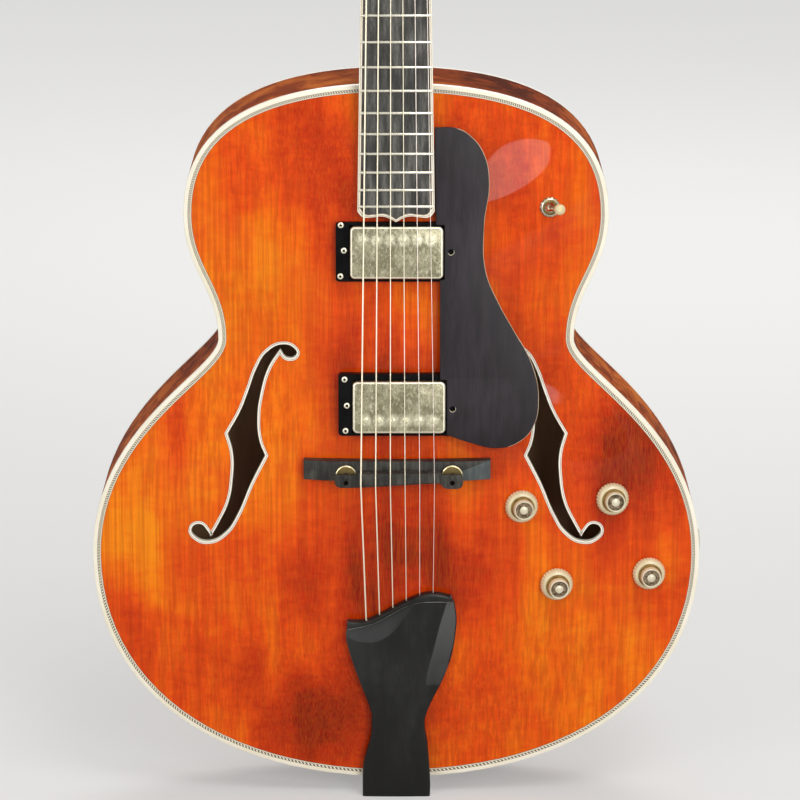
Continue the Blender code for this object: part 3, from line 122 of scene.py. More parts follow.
def change(piece, kind, **values):
    # adds a modifier and applies it
    pick(piece)
    made = piece.modifiers.new(kind.lower(), kind)
    for key, value in values.items():
        setattr(made, key, value)
    bpy.ops.object.modifier_apply(modifier=made.name)
    return piece


def roundEdges(piece, width, segments=2, angle=30):
    return change(piece, "BEVEL", width=width, segments=segments, limit_method="ANGLE",
                  angle_limit=radians(angle))


def cutAway(piece, tool):
    change(piece, "BOOLEAN", operation="DIFFERENCE", object=tool, solver="MANIFOLD")
    discard(tool)
    return piece


def sealSeams(piece, distance=weld):
    with editing(piece):
        bpy.ops.mesh.remove_doubles(threshold=distance)
        bpy.ops.mesh.normals_make_consistent(inside=False)
    return piece


def capEnds(piece):
    # welds the seams and closes each open end with a face
    with editing(piece):
        bpy.ops.mesh.remove_doubles(threshold=weld)
        bpy.ops.mesh.select_all(action="DESELECT")
        bpy.ops.mesh.select_non_manifold()
        bpy.ops.mesh.edge_face_add()
        bpy.ops.mesh.select_all(action="SELECT")
        bpy.ops.mesh.normals_make_consistent(inside=False)
    return piece


def moveTo(piece, matrix):
    # the place goes into the mesh, so the object stays at the origin
    pick(piece)
    piece.matrix_world = matrix @ piece.matrix_world
    return settle()


def joinPieces(things):
    pick(things[0])
    for thing in things[1:]:
        thing.select_set(True)
    bpy.ops.object.join()
    return bpy.context.object


def twin(piece, matrix):
    made = piece.copy()
    made.data = piece.data.copy()
    bpy.context.scene.collection.objects.link(made)
    return moveTo(made, matrix)


def finish(piece, name, look, rides="guitar", replaced=(), smooth=35):
    pick(piece)
    settle()
    bpy.ops.object.shade_smooth_by_angle(angle=radians(smooth))
    piece.name = name
    piece.data.name = name
    piece.data.materials.clear()
    piece.data.materials.append(materials[look])
    if rides:
        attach(piece, rides)
    if replaced:
        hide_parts(*replaced)
    return piece


def secondLook(piece, look, chosen):
    # gives the chosen faces another finish
    piece.data.materials.append(materials[look])
    for face in piece.data.polygons:
        if chosen(face):
            face.material_index = len(piece.data.materials) - 1


def gridPiece(across, along, spot):
    # a flat grid whose points are moved to where spot says, u across and v along
    clearSelection()
    bpy.ops.mesh.primitive_grid_add(x_subdivisions=across, y_subdivisions=along, size=1)
    piece = bpy.context.object
    for vert in piece.data.vertices:
        vert.co = spot(vert.co.x + 0.5, vert.co.y + 0.5)
    return piece


def turnedPiece(rings, sides=48):
    # a circle extruded and resized from ring to ring, as (radius, height), and closed at both ends
    clearSelection()
    radius, height = rings[0]
    bpy.ops.mesh.primitive_circle_add(vertices=sides, radius=radius, fill_type="NGON", location=(0, 0, height))
    with editing(bpy.context.object):
        for nextRadius, nextHeight in rings[1:]:
            bpy.ops.mesh.extrude_region_move(TRANSFORM_OT_translate={"value": (0, 0, nextHeight - height)})
            share = nextRadius / radius
            bpy.ops.transform.resize(value=(share, share, 1), center_override=(0, 0, nextHeight))
            radius, height = nextRadius, nextHeight
        bpy.ops.mesh.select_all(action="SELECT")
        bpy.ops.mesh.normals_make_consistent(inside=False)
    return settle()


def ringPiece(rings, sides):
    # a turned piece with a bore: the outline is carried once round Z and closed on itself
    def spot(u, v):
        radius, height = rings[round(u * len(rings)) % len(rings)]
        return Vector((radius * cos(2 * pi * v), radius * sin(2 * pi * v), height))

    return sealSeams(gridPiece(len(rings), sides, spot))


def milled(piece, inside, flutes, share):
    # every second point of the rim, outside a radius, is drawn in to a share of its own
    for vert in piece.data.vertices:
        flat = vert.co.xy
        if flat.length > inside and round(flat.angle_signed(Vector((1, 0))) / (2 * pi) * flutes) % 2 == 0:
            vert.co.x *= share
            vert.co.y *= share
    return piece


def blockPiece(size, centre, edge=0.0):
    clearSelection()
    bpy.ops.mesh.primitive_cube_add(size=1, location=centre, scale=size)
    piece = settle()
    return roundEdges(piece, edge) if edge else piece


def drawnPlate(points, smooth, depth, edge=0.0, fine=10):
    # a closed curve drawn through the points in X and Z, thickened along Y and made a mesh
    clearSelection()
    bpy.ops.curve.primitive_bezier_circle_add()
    drawn = bpy.context.object
    line = drawn.data
    line.dimensions = "2D"
    line.fill_mode = "BOTH"
    line.resolution_u = fine
    line.extrude = depth / 2 - edge
    line.bevel_depth = edge
    line.bevel_resolution = 2
    line.offset = -edge
    knots = line.splines[0].bezier_points
    knots.add(len(points) - len(knots))
    for index, (knot, (x, z)) in enumerate(zip(knots, points)):
        knot.co = (x, z, 0)
        kind = "AUTO" if index in smooth else "VECTOR"
        knot.handle_left_type = kind
        knot.handle_right_type = kind
    bpy.ops.object.convert(target="MESH")
    bpy.context.object.rotation_euler = (pi / 2, 0, 0)
    return sealSeams(settle(), 0.00001)


def prism(points, low, high):
    # a closed block with its outline in X and Z, from y low to y high
    count = len(points)

    def spot(u, v):
        point = points[round(v * count) % count]
        return Vector((point.x, high if u > 0.5 else low, point.y))

    return capEnds(gridPiece(1, count, spot))


def mirrored(points):
    return points + [(-x, z) for x, z in reversed(points) if x > 0]


def cadCopy(node, edge=0.0, segments=2, angle=30):
    # a copy of a CAD solid with its flat faces made whole and its edges rounded
    clearSelection()
    piece = bpy.data.objects.new(node + "_copy", frame["nodes"][node].data.copy())
    bpy.context.scene.collection.objects.link(piece)
    with editing(piece):
        bpy.ops.mesh.remove_doubles(threshold=weld)
        bpy.ops.mesh.dissolve_limited(angle_limit=radians(0.6))
    return roundEdges(piece, edge, segments, angle) if edge else piece


def standing(place, out):
    # a frame at a place, with its Z along a direction and its X level
    side = Vector((0, 0, 1)).cross(out).normalized()
    return Matrix.Translation(place) @ Matrix((side, out.cross(side), out)).transposed().to_4x4()


# Finishes: node helpers, shared groups, then one function for each material

def addNode(tree, kind, inputs=None, **settings):
    made = tree.nodes.new("ShaderNode" + kind)
    for key, value in settings.items():
        setattr(made, key, value)
    for key, value in (inputs or {}).items():
        if isinstance(value, bpy.types.NodeSocket):
            tree.links.new(value, made.inputs[key])
        else:
            made.inputs[key].default_value = value
    return made


def maths(tree, operation, first, second=0.0, third=0.0):
    return addNode(tree, "Math", {0: first, 1: second, 2: third}, operation=operation).outputs[0]


def mixColour(tree, share, first, second, blend="MIX"):
    made = addNode(tree, "Mix", {0: share, 6: first, 7: second}, data_type="RGBA", blend_type=blend)
    return made.outputs[2]


def ramp(tree, value, stops):
    made = addNode(tree, "ValToRGB", {0: value})
    points = made.color_ramp.elements
    while len(points) < len(stops):
        points.new(0.5)
    for point, (place, colour) in zip(points, stops):
        point.position = place
        point.color = (*colour, 1)
    return made.outputs[0]


def spread(tree, value, low, high, toLow=0.0, toHigh=1.0):
    made = addNode(tree, "MapRange", {0: value, 1: low, 2: high, 3: toLow, 4: toHigh})
    made.interpolation_type = "SMOOTHSTEP"
    return made.outputs[0]


def noise(tree, vector, scale, detail=3.0, rough=0.5, distortion=0.0):
    made = addNode(tree, "TexNoise", {"Vector": vector, "Scale": scale, "Detail": detail, "Roughness": rough,
                                      "Distortion": distortion})
    return made.outputs["Fac"]


def stretch(tree, vector, scale, rotation=(0, 0, 0)):
    return addNode(tree, "Mapping", {"Vector": vector, "Scale": scale, "Rotation": rotation}).outputs[0]


def makeGroup(name, scales, outputs, wire):
    # a shared node group: a place and some scales in, some masks out
    tree = bpy.data.node_groups.new(name, "ShaderNodeTree")
    tree.interface.new_socket("Vector", in_out="INPUT", socket_type="NodeSocketVector")
    for label, value in scales.items():
        tree.interface.new_socket(label, in_out="INPUT", socket_type="NodeSocketFloat").default_value = value
    for label in outputs:
        tree.interface.new_socket(label, in_out="OUTPUT", socket_type="NodeSocketFloat")
    source = tree.nodes.new("NodeGroupInput")
    target = tree.nodes.new("NodeGroupOutput")
    for label, socket in wire(tree, source.outputs).items():
        tree.links.new(socket, target.inputs[label])
    return tree


def useGroup(tree, group, inputs):
    return addNode(tree, "Group", inputs, node_tree=group).outputs


def wireGrain(tree, given):
    # straight-grained wood along Z: fine growth lines, soft streaks and wide patches
    lines = noise(tree, stretch(tree, given["Vector"], (1, 1, 0.012)), given["Line Scale"], 2.0, 0.6)
    fine = noise(tree, stretch(tree, given["Vector"], (1, 1, 0.05)), given["Fine Scale"], 2.0, 0.6)
    streak = noise(tree, stretch(tree, given["Vector"], (1, 1, 0.10)), given["Streak Scale"], 3.0, 0.55)
    patch = noise(tree, stretch(tree, given["Vector"], (1, 1, 0.55)), given["Patch Scale"], 3.0, 0.55, 0.4)
    return {"Lines": spread(tree, lines, 0.35, 0.65), "Fine": spread(tree, fine, 0.3, 0.7),
            "Streak": spread(tree, streak, 0.3, 0.7), "Patch": spread(tree, patch, 0.32, 0.68)}


grainGroup = makeGroup(
    "straightGrain", {"Line Scale": 500.0, "Fine Scale": 1400.0, "Streak Scale": 60.0, "Patch Scale": 9.0},
    ("Lines", "Fine", "Streak", "Patch"), wireGrain)


def wireWear(tree, given):
    # small smudges and specks left by handling
    cloud = noise(tree, given["Vector"], given["Cloud Scale"], 4.0, 0.6)
    speck = noise(tree, given["Vector"], given["Speck Scale"], 2.0, 0.5)
    return {"Cloud": spread(tree, cloud, 0.35, 0.65), "Speck": spread(tree, speck, 0.58, 0.72)}


wearGroup = makeGroup("handlingWear", {"Cloud Scale": 60.0, "Speck Scale": 900.0}, ("Cloud", "Speck"), wireWear)


def newMaterial(name):
    made = bpy.data.materials.new(name)
    made.use_nodes = True
    tree = made.node_tree
    shader = tree.nodes["Principled BSDF"]
    spot = addNode(tree, "TexCoord").outputs["Object"]
    materials[name] = made
    return tree, shader, spot


def plug(tree, source, shader, socket):
    tree.links.new(source, shader.inputs[socket])


def setBump(tree, shader, height, strength, distance):
    made = addNode(tree, "Bump", {"Height": height, "Strength": strength, "Distance": distance})
    plug(tree, made.outputs[0], shader, "Normal")


def setGloss(shader, rough, coat=0.0, coatRough=0.03, metal=0.0, shine=0.2):
    shader.inputs["Roughness"].default_value = rough
    shader.inputs["Metallic"].default_value = metal
    shader.inputs["Specular IOR Level"].default_value = shine
    shader.inputs["Coat Weight"].default_value = coat
    shader.inputs["Coat Roughness"].default_value = coatRough


# Plain woods: the growth lines' scale, three tones, the lines' share, roughness, coat, and where it isn't the
# usual, the patches' and streaks' scale, the bump and the shine
woods = {
    "neckLacquer": (700.0, (0.05, 0.009, 0.003), (0.10, 0.018, 0.005), (0.17, 0.034, 0.009), 0.25, 0.35, 0.15,
                    9.0, 60.0, 0.1, 0.1),
    "bareSpruce": (500.0, (0.35, 0.20, 0.09), (0.52, 0.34, 0.17), (0.62, 0.44, 0.25), 0.35, 0.75, 0.0),
    "insideWood": (600.0, (0.60, 0.38, 0.20), (0.74, 0.49, 0.27), (0.84, 0.60, 0.36), 0.3, 0.8, 0.0),
    "satinEbony": (900.0, (0.005, 0.0055, 0.005), (0.009, 0.010, 0.009), (0.017, 0.018, 0.016), 0.35, 0.34, 0.0,
                   30.0, 160.0, 0.2, 0.28),
    "bridgeEbony": (1300.0, (0.016, 0.015, 0.013), (0.040, 0.038, 0.031), (0.075, 0.072, 0.060), 0.4, 0.45, 0.0,
                    90.0, 420.0, 0.3, 0.25),
    "guardWood": (1100.0, (0.009, 0.007, 0.009), (0.018, 0.014, 0.017), (0.030, 0.023, 0.029), 0.3, 0.42, 0.0,
                  14.0, 180.0, 0.2, 0.22),
}


def grained(name, lineScale, dark, middle, light, lineShare, rough, coat, patch=9.0, streak=60.0, bump=0.1,
            shine=0.2):
    # one recipe for the plain woods: three tones, darker growth lines and a finish
    tree, shader, spot = newMaterial(name)
    grain = useGroup(tree, grainGroup, {"Vector": spot, "Line Scale": lineScale, "Fine Scale": lineScale * 2.6,
                                        "Streak Scale": streak, "Patch Scale": patch})
    mixed = maths(tree, "MULTIPLY_ADD", grain["Patch"], 0.6, maths(tree, "MULTIPLY", grain["Streak"], 0.4))
    tone = ramp(tree, mixed, [(0.1, dark), (0.5, middle), (0.9, light)])
    lined = mixColour(tree, maths(tree, "MULTIPLY", grain["Lines"], lineShare), tone, (*dark, 1))
    plug(tree, lined, shader, "Base Color")
    setBump(tree, shader, grain["Lines"], bump, 0.0001)
    setGloss(shader, rough, coat, shine=shine)
    return tree, shader, spot, lined


# Where the top's tone turns lighter or darker: x, z, how far it reaches, and by how much. Most spots are the
# stain's own changes; the dark spots on the middle line (x 0) are partly a redder stain and partly painted shadow
# under the strings, and the light spot at x 0.050, z 0.215 is a painted highlight
stainAndPaintedLight = [
    (-0.125, 0.385, 0.110, 0.34), (-0.180, 0.215, 0.100, 0.36), (-0.085, 0.240, 0.070, 0.12),
    (-0.175, 0.110, 0.080, -0.04), (0.000, 0.180, 0.095, -0.58), (-0.030, 0.050, 0.085, -0.44),
    (-0.055, 0.470, 0.080, -0.16), (0.120, 0.480, 0.070, -0.10), (0.185, 0.250, 0.085, -0.34),
    (0.118, 0.365, 0.060, 0.22), (0.140, 0.120, 0.110, 0.22), (-0.045, 0.330, 0.060, -0.10),
    (0.062, 0.060, 0.060, -0.22), (-0.075, 0.060, 0.060, -0.12), (-0.045, 0.430, 0.120, -0.12),
    (0.000, 0.310, 0.070, -0.32), (-0.200, 0.190, 0.060, 0.10), (0.190, 0.270, 0.050, -0.10),
    (-0.145, 0.470, 0.060, 0.24), (0.050, 0.215, 0.045, 0.26),
]


def makeTopLacquer():
    tree, shader, spot = newMaterial("topLacquer")
    grain = useGroup(tree, grainGroup, {"Vector": spot, "Line Scale": 430.0, "Fine Scale": 1500.0,
                                        "Streak Scale": 46.0, "Patch Scale": 17.0})
    flat = addNode(tree, "VectorMath", {0: spot, 1: (1, 0, 1)}, operation="MULTIPLY").outputs[0]
    glow = maths(tree, "MULTIPLY_ADD", grain["Patch"], 0.34, 0.19)
    glow = maths(tree, "MULTIPLY_ADD", grain["Streak"], 0.20, glow)
    mottle = noise(tree, stretch(tree, spot, (1.0, 1.0, 2.2)), 75.0, 4.0, 0.6, 0.5)
    glow = maths(tree, "MULTIPLY_ADD", spread(tree, mottle, 0.3, 0.7), 0.13, glow)
    # the stain's spots, with the painted shadow under the strings and a painted highlight among them
    for x, z, reach, amount in stainAndPaintedLight:
        away = addNode(tree, "VectorMath", {0: flat, 1: (x, 0, z)}, operation="DISTANCE").outputs[1]
        glow = maths(tree, "MULTIPLY_ADD", spread(tree, away, 0.0, reach, 1.0, 0.0), amount, glow)
    tone = ramp(tree, glow, [
        (0.0, (0.215, 0.004, 0.001)), (0.25, (0.50, 0.020, 0.002)), (0.5, (0.76, 0.064, 0.003)),
        (0.75, (0.87, 0.150, 0.003)), (1.0, (0.93, 0.265, 0.005)),
    ])
    lines = maths(tree, "MULTIPLY", grain["Lines"], 0.42)
    lined = mixColour(tree, lines, tone, (0.40, 0.020, 0.002, 1))
    fine = mixColour(tree, maths(tree, "MULTIPLY", grain["Fine"], 0.12), lined, (0.97, 0.30, 0.012, 1))
    plug(tree, fine, shader, "Base Color")
    setBump(tree, shader, grain["Lines"], 0.03, 0.0001)
    setGloss(shader, 0.38, 0.38, 0.03, shine=0.0)
    shader.inputs["Coat IOR"].default_value = 1.4


def makeSideLacquer():
    # flamed sides and back: bands across the grain under a dark red-brown stain
    tree, shader, spot = newMaterial("sideLacquer")
    flame = noise(tree, stretch(tree, spot, (0.35, 0.35, 1.0)), 90.0, 3.0, 0.6, 0.6)
    cloud = noise(tree, spot, 9.0, 3.0, 0.5)
    mixed = maths(tree, "MULTIPLY_ADD", spread(tree, flame, 0.35, 0.65), 0.45,
                  maths(tree, "MULTIPLY", spread(tree, cloud, 0.3, 0.7), 0.5))
    tone = ramp(tree, mixed, [(0.05, (0.085, 0.013, 0.002)), (0.45, (0.27, 0.045, 0.006)),
                              (0.8, (0.48, 0.11, 0.014)), (1.0, (0.60, 0.18, 0.03))])
    pores = noise(tree, stretch(tree, spot, (1.0, 1.0, 0.06)), 1800.0, 2.0)
    plug(tree, mixColour(tree, maths(tree, "MULTIPLY", spread(tree, pores, 0.55, 0.7), 0.25), tone,
                         (0.03, 0.006, 0.002, 1)), shader, "Base Color")
    setGloss(shader, 0.42, 0.07, 0.14, shine=0.0)
    shader.inputs["Coat IOR"].default_value = 1.35


def makeRope():
    # twisted-rope inlay: slanting dark chips between two fine lines, following the band's own UV map
    tree, shader, _ = newMaterial("ropeInlay")
    band = addNode(tree, "UVMap", uv_map="UVMap").outputs[0]
    parts = addNode(tree, "SeparateXYZ", {0: band})
    across, along = parts.outputs[0], parts.outputs[1]
    slant = maths(tree, "MULTIPLY_ADD", across, 0.9, maths(tree, "MULTIPLY", along, 1040.0))
    slanted = maths(tree, "FRACT", slant)
    chip = maths(tree, "MULTIPLY", spread(tree, slanted, 0.32, 0.46), spread(tree, slanted, 0.92, 0.80))
    inRope = maths(tree, "MULTIPLY", spread(tree, across, 0.13, 0.16), spread(tree, across, 0.66, 0.63))
    darkRope = maths(tree, "MULTIPLY", chip, inRope)
    lineA = maths(tree, "MULTIPLY", spread(tree, across, 0.07, 0.09), spread(tree, across, 0.16, 0.14))
    lineB = maths(tree, "MULTIPLY", spread(tree, across, 0.64, 0.66), spread(tree, across, 0.73, 0.71))
    lineC = spread(tree, across, 0.92, 0.95)
    dark = maths(tree, "MAXIMUM", maths(tree, "MAXIMUM", darkRope, lineA), maths(tree, "MAXIMUM", lineB, lineC))
    tone = mixColour(tree, dark, (0.86, 0.78, 0.60, 1), (0.075, 0.062, 0.045, 1))
    plug(tree, tone, shader, "Base Color")
    setGloss(shader, 0.35, 0.4, 0.05)


def makeHoleLine():
    # cream edging of the sound holes with one fine dark line in it
    tree, shader, _ = newMaterial("holeEdging")
    across = addNode(tree, "SeparateXYZ", {0: addNode(tree, "UVMap", uv_map="UVMap").outputs[0]}).outputs[0]
    inner = maths(tree, "MULTIPLY", spread(tree, across, 0.50, 0.54), spread(tree, across, 0.68, 0.64))
    outer = spread(tree, across, 0.90, 0.94)
    tone = mixColour(tree, maths(tree, "MAXIMUM", inner, outer), (0.93, 0.88, 0.75, 1), (0.16, 0.055, 0.035, 1))
    plug(tree, tone, shader, "Base Color")
    setGloss(shader, 0.3, 0.4, 0.05)


def makeSolid(name, colour, other, cloudScale, rough, coat=0.0, metal=0.0, share=1.0, bump=0.0, shine=0.3):
    # plastics, bone and metals: a colour that drifts towards another in soft clouds, with small specks
    tree, shader, spot = newMaterial(name)
    wear = useGroup(tree, wearGroup, {"Vector": spot, "Cloud Scale": cloudScale})
    tone = mixColour(tree, maths(tree, "MULTIPLY", wear["Cloud"], share), (*colour, 1), (*other, 1))
    plug(tree, tone, shader, "Base Color")
    plug(tree, spread(tree, wear["Cloud"], 0.0, 1.0, rough, min(rough * 1.5, 1.0)), shader, "Roughness")
    setGloss(shader, rough, coat, 0.06, metal, shine)
    if bump:
        setBump(tree, shader, wear["Speck"], bump, 0.0002)


def makeBoardWood():
    tree, shader, spot = newMaterial("boardEbony")
    grain = useGroup(tree, grainGroup, {"Vector": spot, "Line Scale": 900.0, "Fine Scale": 2600.0,
                                        "Streak Scale": 240.0, "Patch Scale": 40.0})
    mixed = maths(tree, "MULTIPLY_ADD", grain["Streak"], 0.7, maths(tree, "MULTIPLY", grain["Fine"], 0.3))
    tone = ramp(tree, mixed, [(0.1, (0.022, 0.021, 0.019)), (0.55, (0.062, 0.060, 0.053)),
                              (1.0, (0.150, 0.145, 0.13))])
    plug(tree, tone, shader, "Base Color")
    setBump(tree, shader, grain["Fine"], 0.15, 0.0001)
    setGloss(shader, 0.42, shine=0.25)


def makeWoundString():
    # close turns of wrap wire along the string
    tree, shader, spot = newMaterial("woundString")
    turns = addNode(tree, "TexWave", {"Vector": spot, "Scale": 620.0}, wave_type="BANDS", bands_direction="Z")
    tone = mixColour(tree, turns.outputs["Fac"], (0.88, 0.77, 0.52, 1), (1.0, 0.96, 0.80, 1))
    plug(tree, tone, shader, "Base Color")
    setBump(tree, shader, turns.outputs["Fac"], 0.3, 0.0001)
    setGloss(shader, 0.38, metal=0.6)


def makeCoverNickel():
    # the pickup covers' worn plating: olive smudges, pale scuffs and fine scratches, and a painted highlight that
    # makes the cover paler round each pole screw
    tree, shader, spot = newMaterial("coverNickel")
    wear = useGroup(tree, wearGroup, {"Vector": spot, "Cloud Scale": 85.0, "Speck Scale": 620.0})
    scuff = noise(tree, stretch(tree, spot, (1.0, 1.0, 0.6), rotation=(0, 0.5, 0)), 480.0, 5.0, 0.8, 0.5)
    tone = mixColour(tree, wear["Cloud"], (0.22, 0.205, 0.125, 1), (0.38, 0.35, 0.235, 1))
    tone = mixColour(tree, spread(tree, scuff, 0.48, 0.72, 0.0, 0.70), tone, (0.78, 0.74, 0.56, 1))
    tone = mixColour(tree, maths(tree, "MULTIPLY", wear["Speck"], 0.5), tone, (0.16, 0.15, 0.09, 1))
    # a painted highlight: the cover is painted paler round each pole screw, broken up by the scuffs, as the glint
    # there
    halo = None
    for label, row in (("neck", 1), ("bridge", -1)):
        for index in range(6):
            place = pickupFrame(label, pickup["below"]) @ poleSpot(index, row)
            away = addNode(tree, "VectorMath", {0: spot, 1: place}, operation="DISTANCE").outputs[1]
            near = spread(tree, away, 0.0016, 0.0062, 1.0, 0.0)
            halo = near if halo is None else maths(tree, "MAXIMUM", halo, near)
    paintedGlint = maths(tree, "MULTIPLY", halo, spread(tree, scuff, 0.25, 0.62, 0.25, 0.95))
    tone = mixColour(tree, paintedGlint, tone, (0.80, 0.76, 0.57, 1))
    plug(tree, tone, shader, "Base Color")
    plug(tree, spread(tree, scuff, 0.35, 0.7, 0.22, 0.45), shader, "Roughness")
    setBump(tree, shader, scuff, 0.08, 0.0003)
    setGloss(shader, 0.3, metal=0.85)


def makeTailWood():
    # the tailpiece's scoop and facet are painted lighter, a painted sheen where light catches them, a patch on
    # its left side is painted lighter too, and its foot is darker
    tree, shader, spot, tone = grained("tailEbony", *woods["satinEbony"])
    across = addNode(tree, "Attribute", attribute_name="paintedSheenDepth").outputs["Fac"]
    parts = addNode(tree, "SeparateXYZ", {0: spot})
    x, z = parts.outputs[0], parts.outputs[2]
    facet = maths(tree, "MULTIPLY", spread(tree, x, 0.015, 0.022), spread(tree, z, 0.050, 0.145))
    scoop = spread(tree, x, -0.010, 0.010, 0.31, 0.0)
    paintedSheen = maths(tree, "MULTIPLY", spread(tree, across, -0.3, 0.7), maths(tree, "ADD", facet, scoop))
    side = maths(tree, "MULTIPLY", spread(tree, x, -0.035, 0.0, 0.16, 0.0), spread(tree, z, 0.060, 0.110))
    lighter = mixColour(tree, maths(tree, "MAXIMUM", paintedSheen, side), tone, (0.078, 0.081, 0.080, 1), "ADD")
    low = mixColour(tree, spread(tree, z, -0.020, 0.060, 0.75, 0.0), lighter, (0.003, 0.003, 0.002, 1))
    plug(tree, low, shader, "Base Color")


def makeFootWood():
    # the bridge's foot is painted paler below a slanting line at its treble end, a painted highlight on the facet
    # there
    slant, lineX, facetX = 0.342, 0.0484, 0.048
    tree, shader, spot, tone = grained("footEbony", *woods["bridgeEbony"])
    parts = addNode(tree, "SeparateXYZ", {0: spot})
    above = maths(tree, "MULTIPLY_ADD", parts.outputs[0], -slant, parts.outputs[2])
    line = neck["bridgeZ"] + bridge["shift"] - slant * lineX
    facet = maths(tree, "MULTIPLY", spread(tree, above, line + 0.0002, line - 0.0002, 0.0, 1.0),
                  spread(tree, parts.outputs[0], facetX - 0.0005, facetX + 0.0005))
    plug(tree, mixColour(tree, facet, tone, (0.045, 0.060, 0.066, 1), "ADD"), shader, "Base Color")


def makeMaterials():
    makeTopLacquer()
    makeSideLacquer()
    makeRope()
    makeHoleLine()
    makeBoardWood()
    makeWoundString()
    makeCoverNickel()
    for name, recipe in woods.items():
        grained(name, *recipe)
    makeTailWood()
    makeFootWood()
    makeSolid("creamBinding", (0.86, 0.79, 0.62), (0.92, 0.87, 0.73), 25.0, 0.3, 0.3)
    makeSolid("backLine", (0.84, 0.79, 0.66), (0.90, 0.86, 0.75), 25.0, 0.3, 0.3)
    makeSolid("guardEdge", (0.50, 0.36, 0.21), (0.70, 0.55, 0.38), 80.0, 0.35, 0.3)
    makeSolid("lipLine", (0.07, 0.063, 0.056), (0.22, 0.21, 0.19), 60.0, 0.35)
    makeSolid("thinLine", (0.16, 0.085, 0.05), (0.24, 0.13, 0.08), 60.0, 0.4)
    makeSolid("boneWhite", (0.72, 0.64, 0.48), (0.80, 0.74, 0.60), 70.0, 0.35, 0.2)
    makeSolid("brightNickel", (0.72, 0.69, 0.58), (0.60, 0.57, 0.47), 200.0, 0.22, 0.0, 0.95, 0.6)
    # a pale bright nickel: worn plating with a painted highlight on the covers' rounded edges, the painted
    # highlight round the guard's screw holes, and the ring screws' heads
    makeSolid("rimWearAndHighlight", (0.86, 0.82, 0.66), (0.66, 0.62, 0.46), 420.0, 0.30, 0.0, 0.85, 0.7, 0.1)
    makeSolid("wornPole", (0.72, 0.68, 0.50), (0.44, 0.42, 0.28), 700.0, 0.36, 0.0, 0.85, 0.8)
    makeSolid("plainSteel", (0.55, 0.55, 0.56), (0.42, 0.42, 0.43), 200.0, 0.3, 0.0, 1.0, 0.6)
    makeSolid("brassWheel", (0.20, 0.145, 0.055), (0.12, 0.085, 0.03), 300.0, 0.34, 0.0, 0.85, 0.6)
    # a bright brass for the wheels' rims: a painted highlight
    makeSolid("brassRimHighlight", (0.93, 0.82, 0.50), (0.80, 0.66, 0.34), 300.0, 0.25, 0.0, 0.8, 0.6)
    makeSolid("plainString", (0.95, 0.80, 0.70), (0.98, 0.90, 0.82), 300.0, 0.28, 0.0, 0.7)
    makeSolid("blackPlastic", (0.003, 0.003, 0.0033), (0.006, 0.0055, 0.006), 90.0, 0.28, shine=0.05)
    makeSolid("knobCream", (0.76, 0.66, 0.42), (0.64, 0.53, 0.31), 160.0, 0.22, 0.5, 0.0, 0.6)
    makeSolid("knobGroove", (0.17, 0.095, 0.022), (0.31, 0.19, 0.055), 260.0, 0.35, 0.0, shine=0.15)
    makeSolid("knobDisc", (0.065, 0.040, 0.020), (0.33, 0.25, 0.16), 520.0, 0.3, 0.0, shine=0.15)
    # lighter creams for the knobs' dome and cup lip: painted highlights
    makeSolid("knobDomeHighlight", (0.80, 0.74, 0.56), (0.62, 0.54, 0.38), 900.0, 0.22, 0.5, 0.2)
    makeSolid("knobLipHighlight", (0.84, 0.78, 0.60), (0.74, 0.66, 0.46), 300.0, 0.2, 0.5)
    makeSolid("tipCream", (0.80, 0.70, 0.42), (0.74, 0.60, 0.32), 160.0, 0.25, 0.5)
    makeSolid("keyPearl", (0.62, 0.60, 0.50), (0.78, 0.77, 0.70), 220.0, 0.2, 0.6)
    # near-black: painted shade in the ring screws' recesses and the bridge's front bores
    makeSolid("paintedHoleShade", (0.01, 0.008, 0.007), (0.018, 0.014, 0.011), 90.0, 0.8, shine=0.1)


# The body's outline, arches and the places on them

def outlineKnots():
    b = body
    return [
        ((0, 0), (0, 0), (b["tailPull"], 0)),
        ((b["lowerHalf"], b["lowerZ"]), (b["lowerHalf"], b["lowerZ"] - b["lowerDown"]),
         (b["lowerHalf"], b["lowerZ"] + b["lowerUp"])),
        ((b["waistHalf"], b["waistZ"]), (b["waistHalf"], b["waistZ"] - b["waistDown"]),
         (b["waistHalf"], b["waistZ"] + b["waistUp"])),
        ((b["upperHalf"], b["upperZ"]), (b["upperHalf"], b["upperZ"] - b["upperDown"]),
         (b["upperHalf"], b["upperZ"] + b["upperUp"])),
        ((0, b["length"]), (b["neckPull"], b["length"]), (0, b["length"])),
    ]


def halfOutline():
    points = [Vector((0, 0))]
    knots = outlineKnots()
    for start, end in zip(knots, knots[1:]):
        run = interpolate_bezier(start[0], start[2], end[1], end[0], body["steps"] + 1)
        points += [Vector(point[:2]) for point in run[1:]]
    return points


def insetHalf(distance):
    points = halfOutline()
    moved = []
    for index, point in enumerate(points):
        before = points[index - 1] if index else Vector((-points[1].x, points[1].y))
        after = points[index + 1] if index < len(points) - 1 else Vector((-points[-2].x, points[-2].y))
        along = (after - before).normalized()
        moved.append(point + Vector((-along.y, along.x)) * distance)
    moved[0].x = 0
    moved[-1].x = 0
    return moved


def insetLoop(distance):
    # the whole outline once round, from the tail up the treble side and back down
    half = insetHalf(distance)
    return half + [Vector((-p.x, p.y)) for p in reversed(half[:-1])]


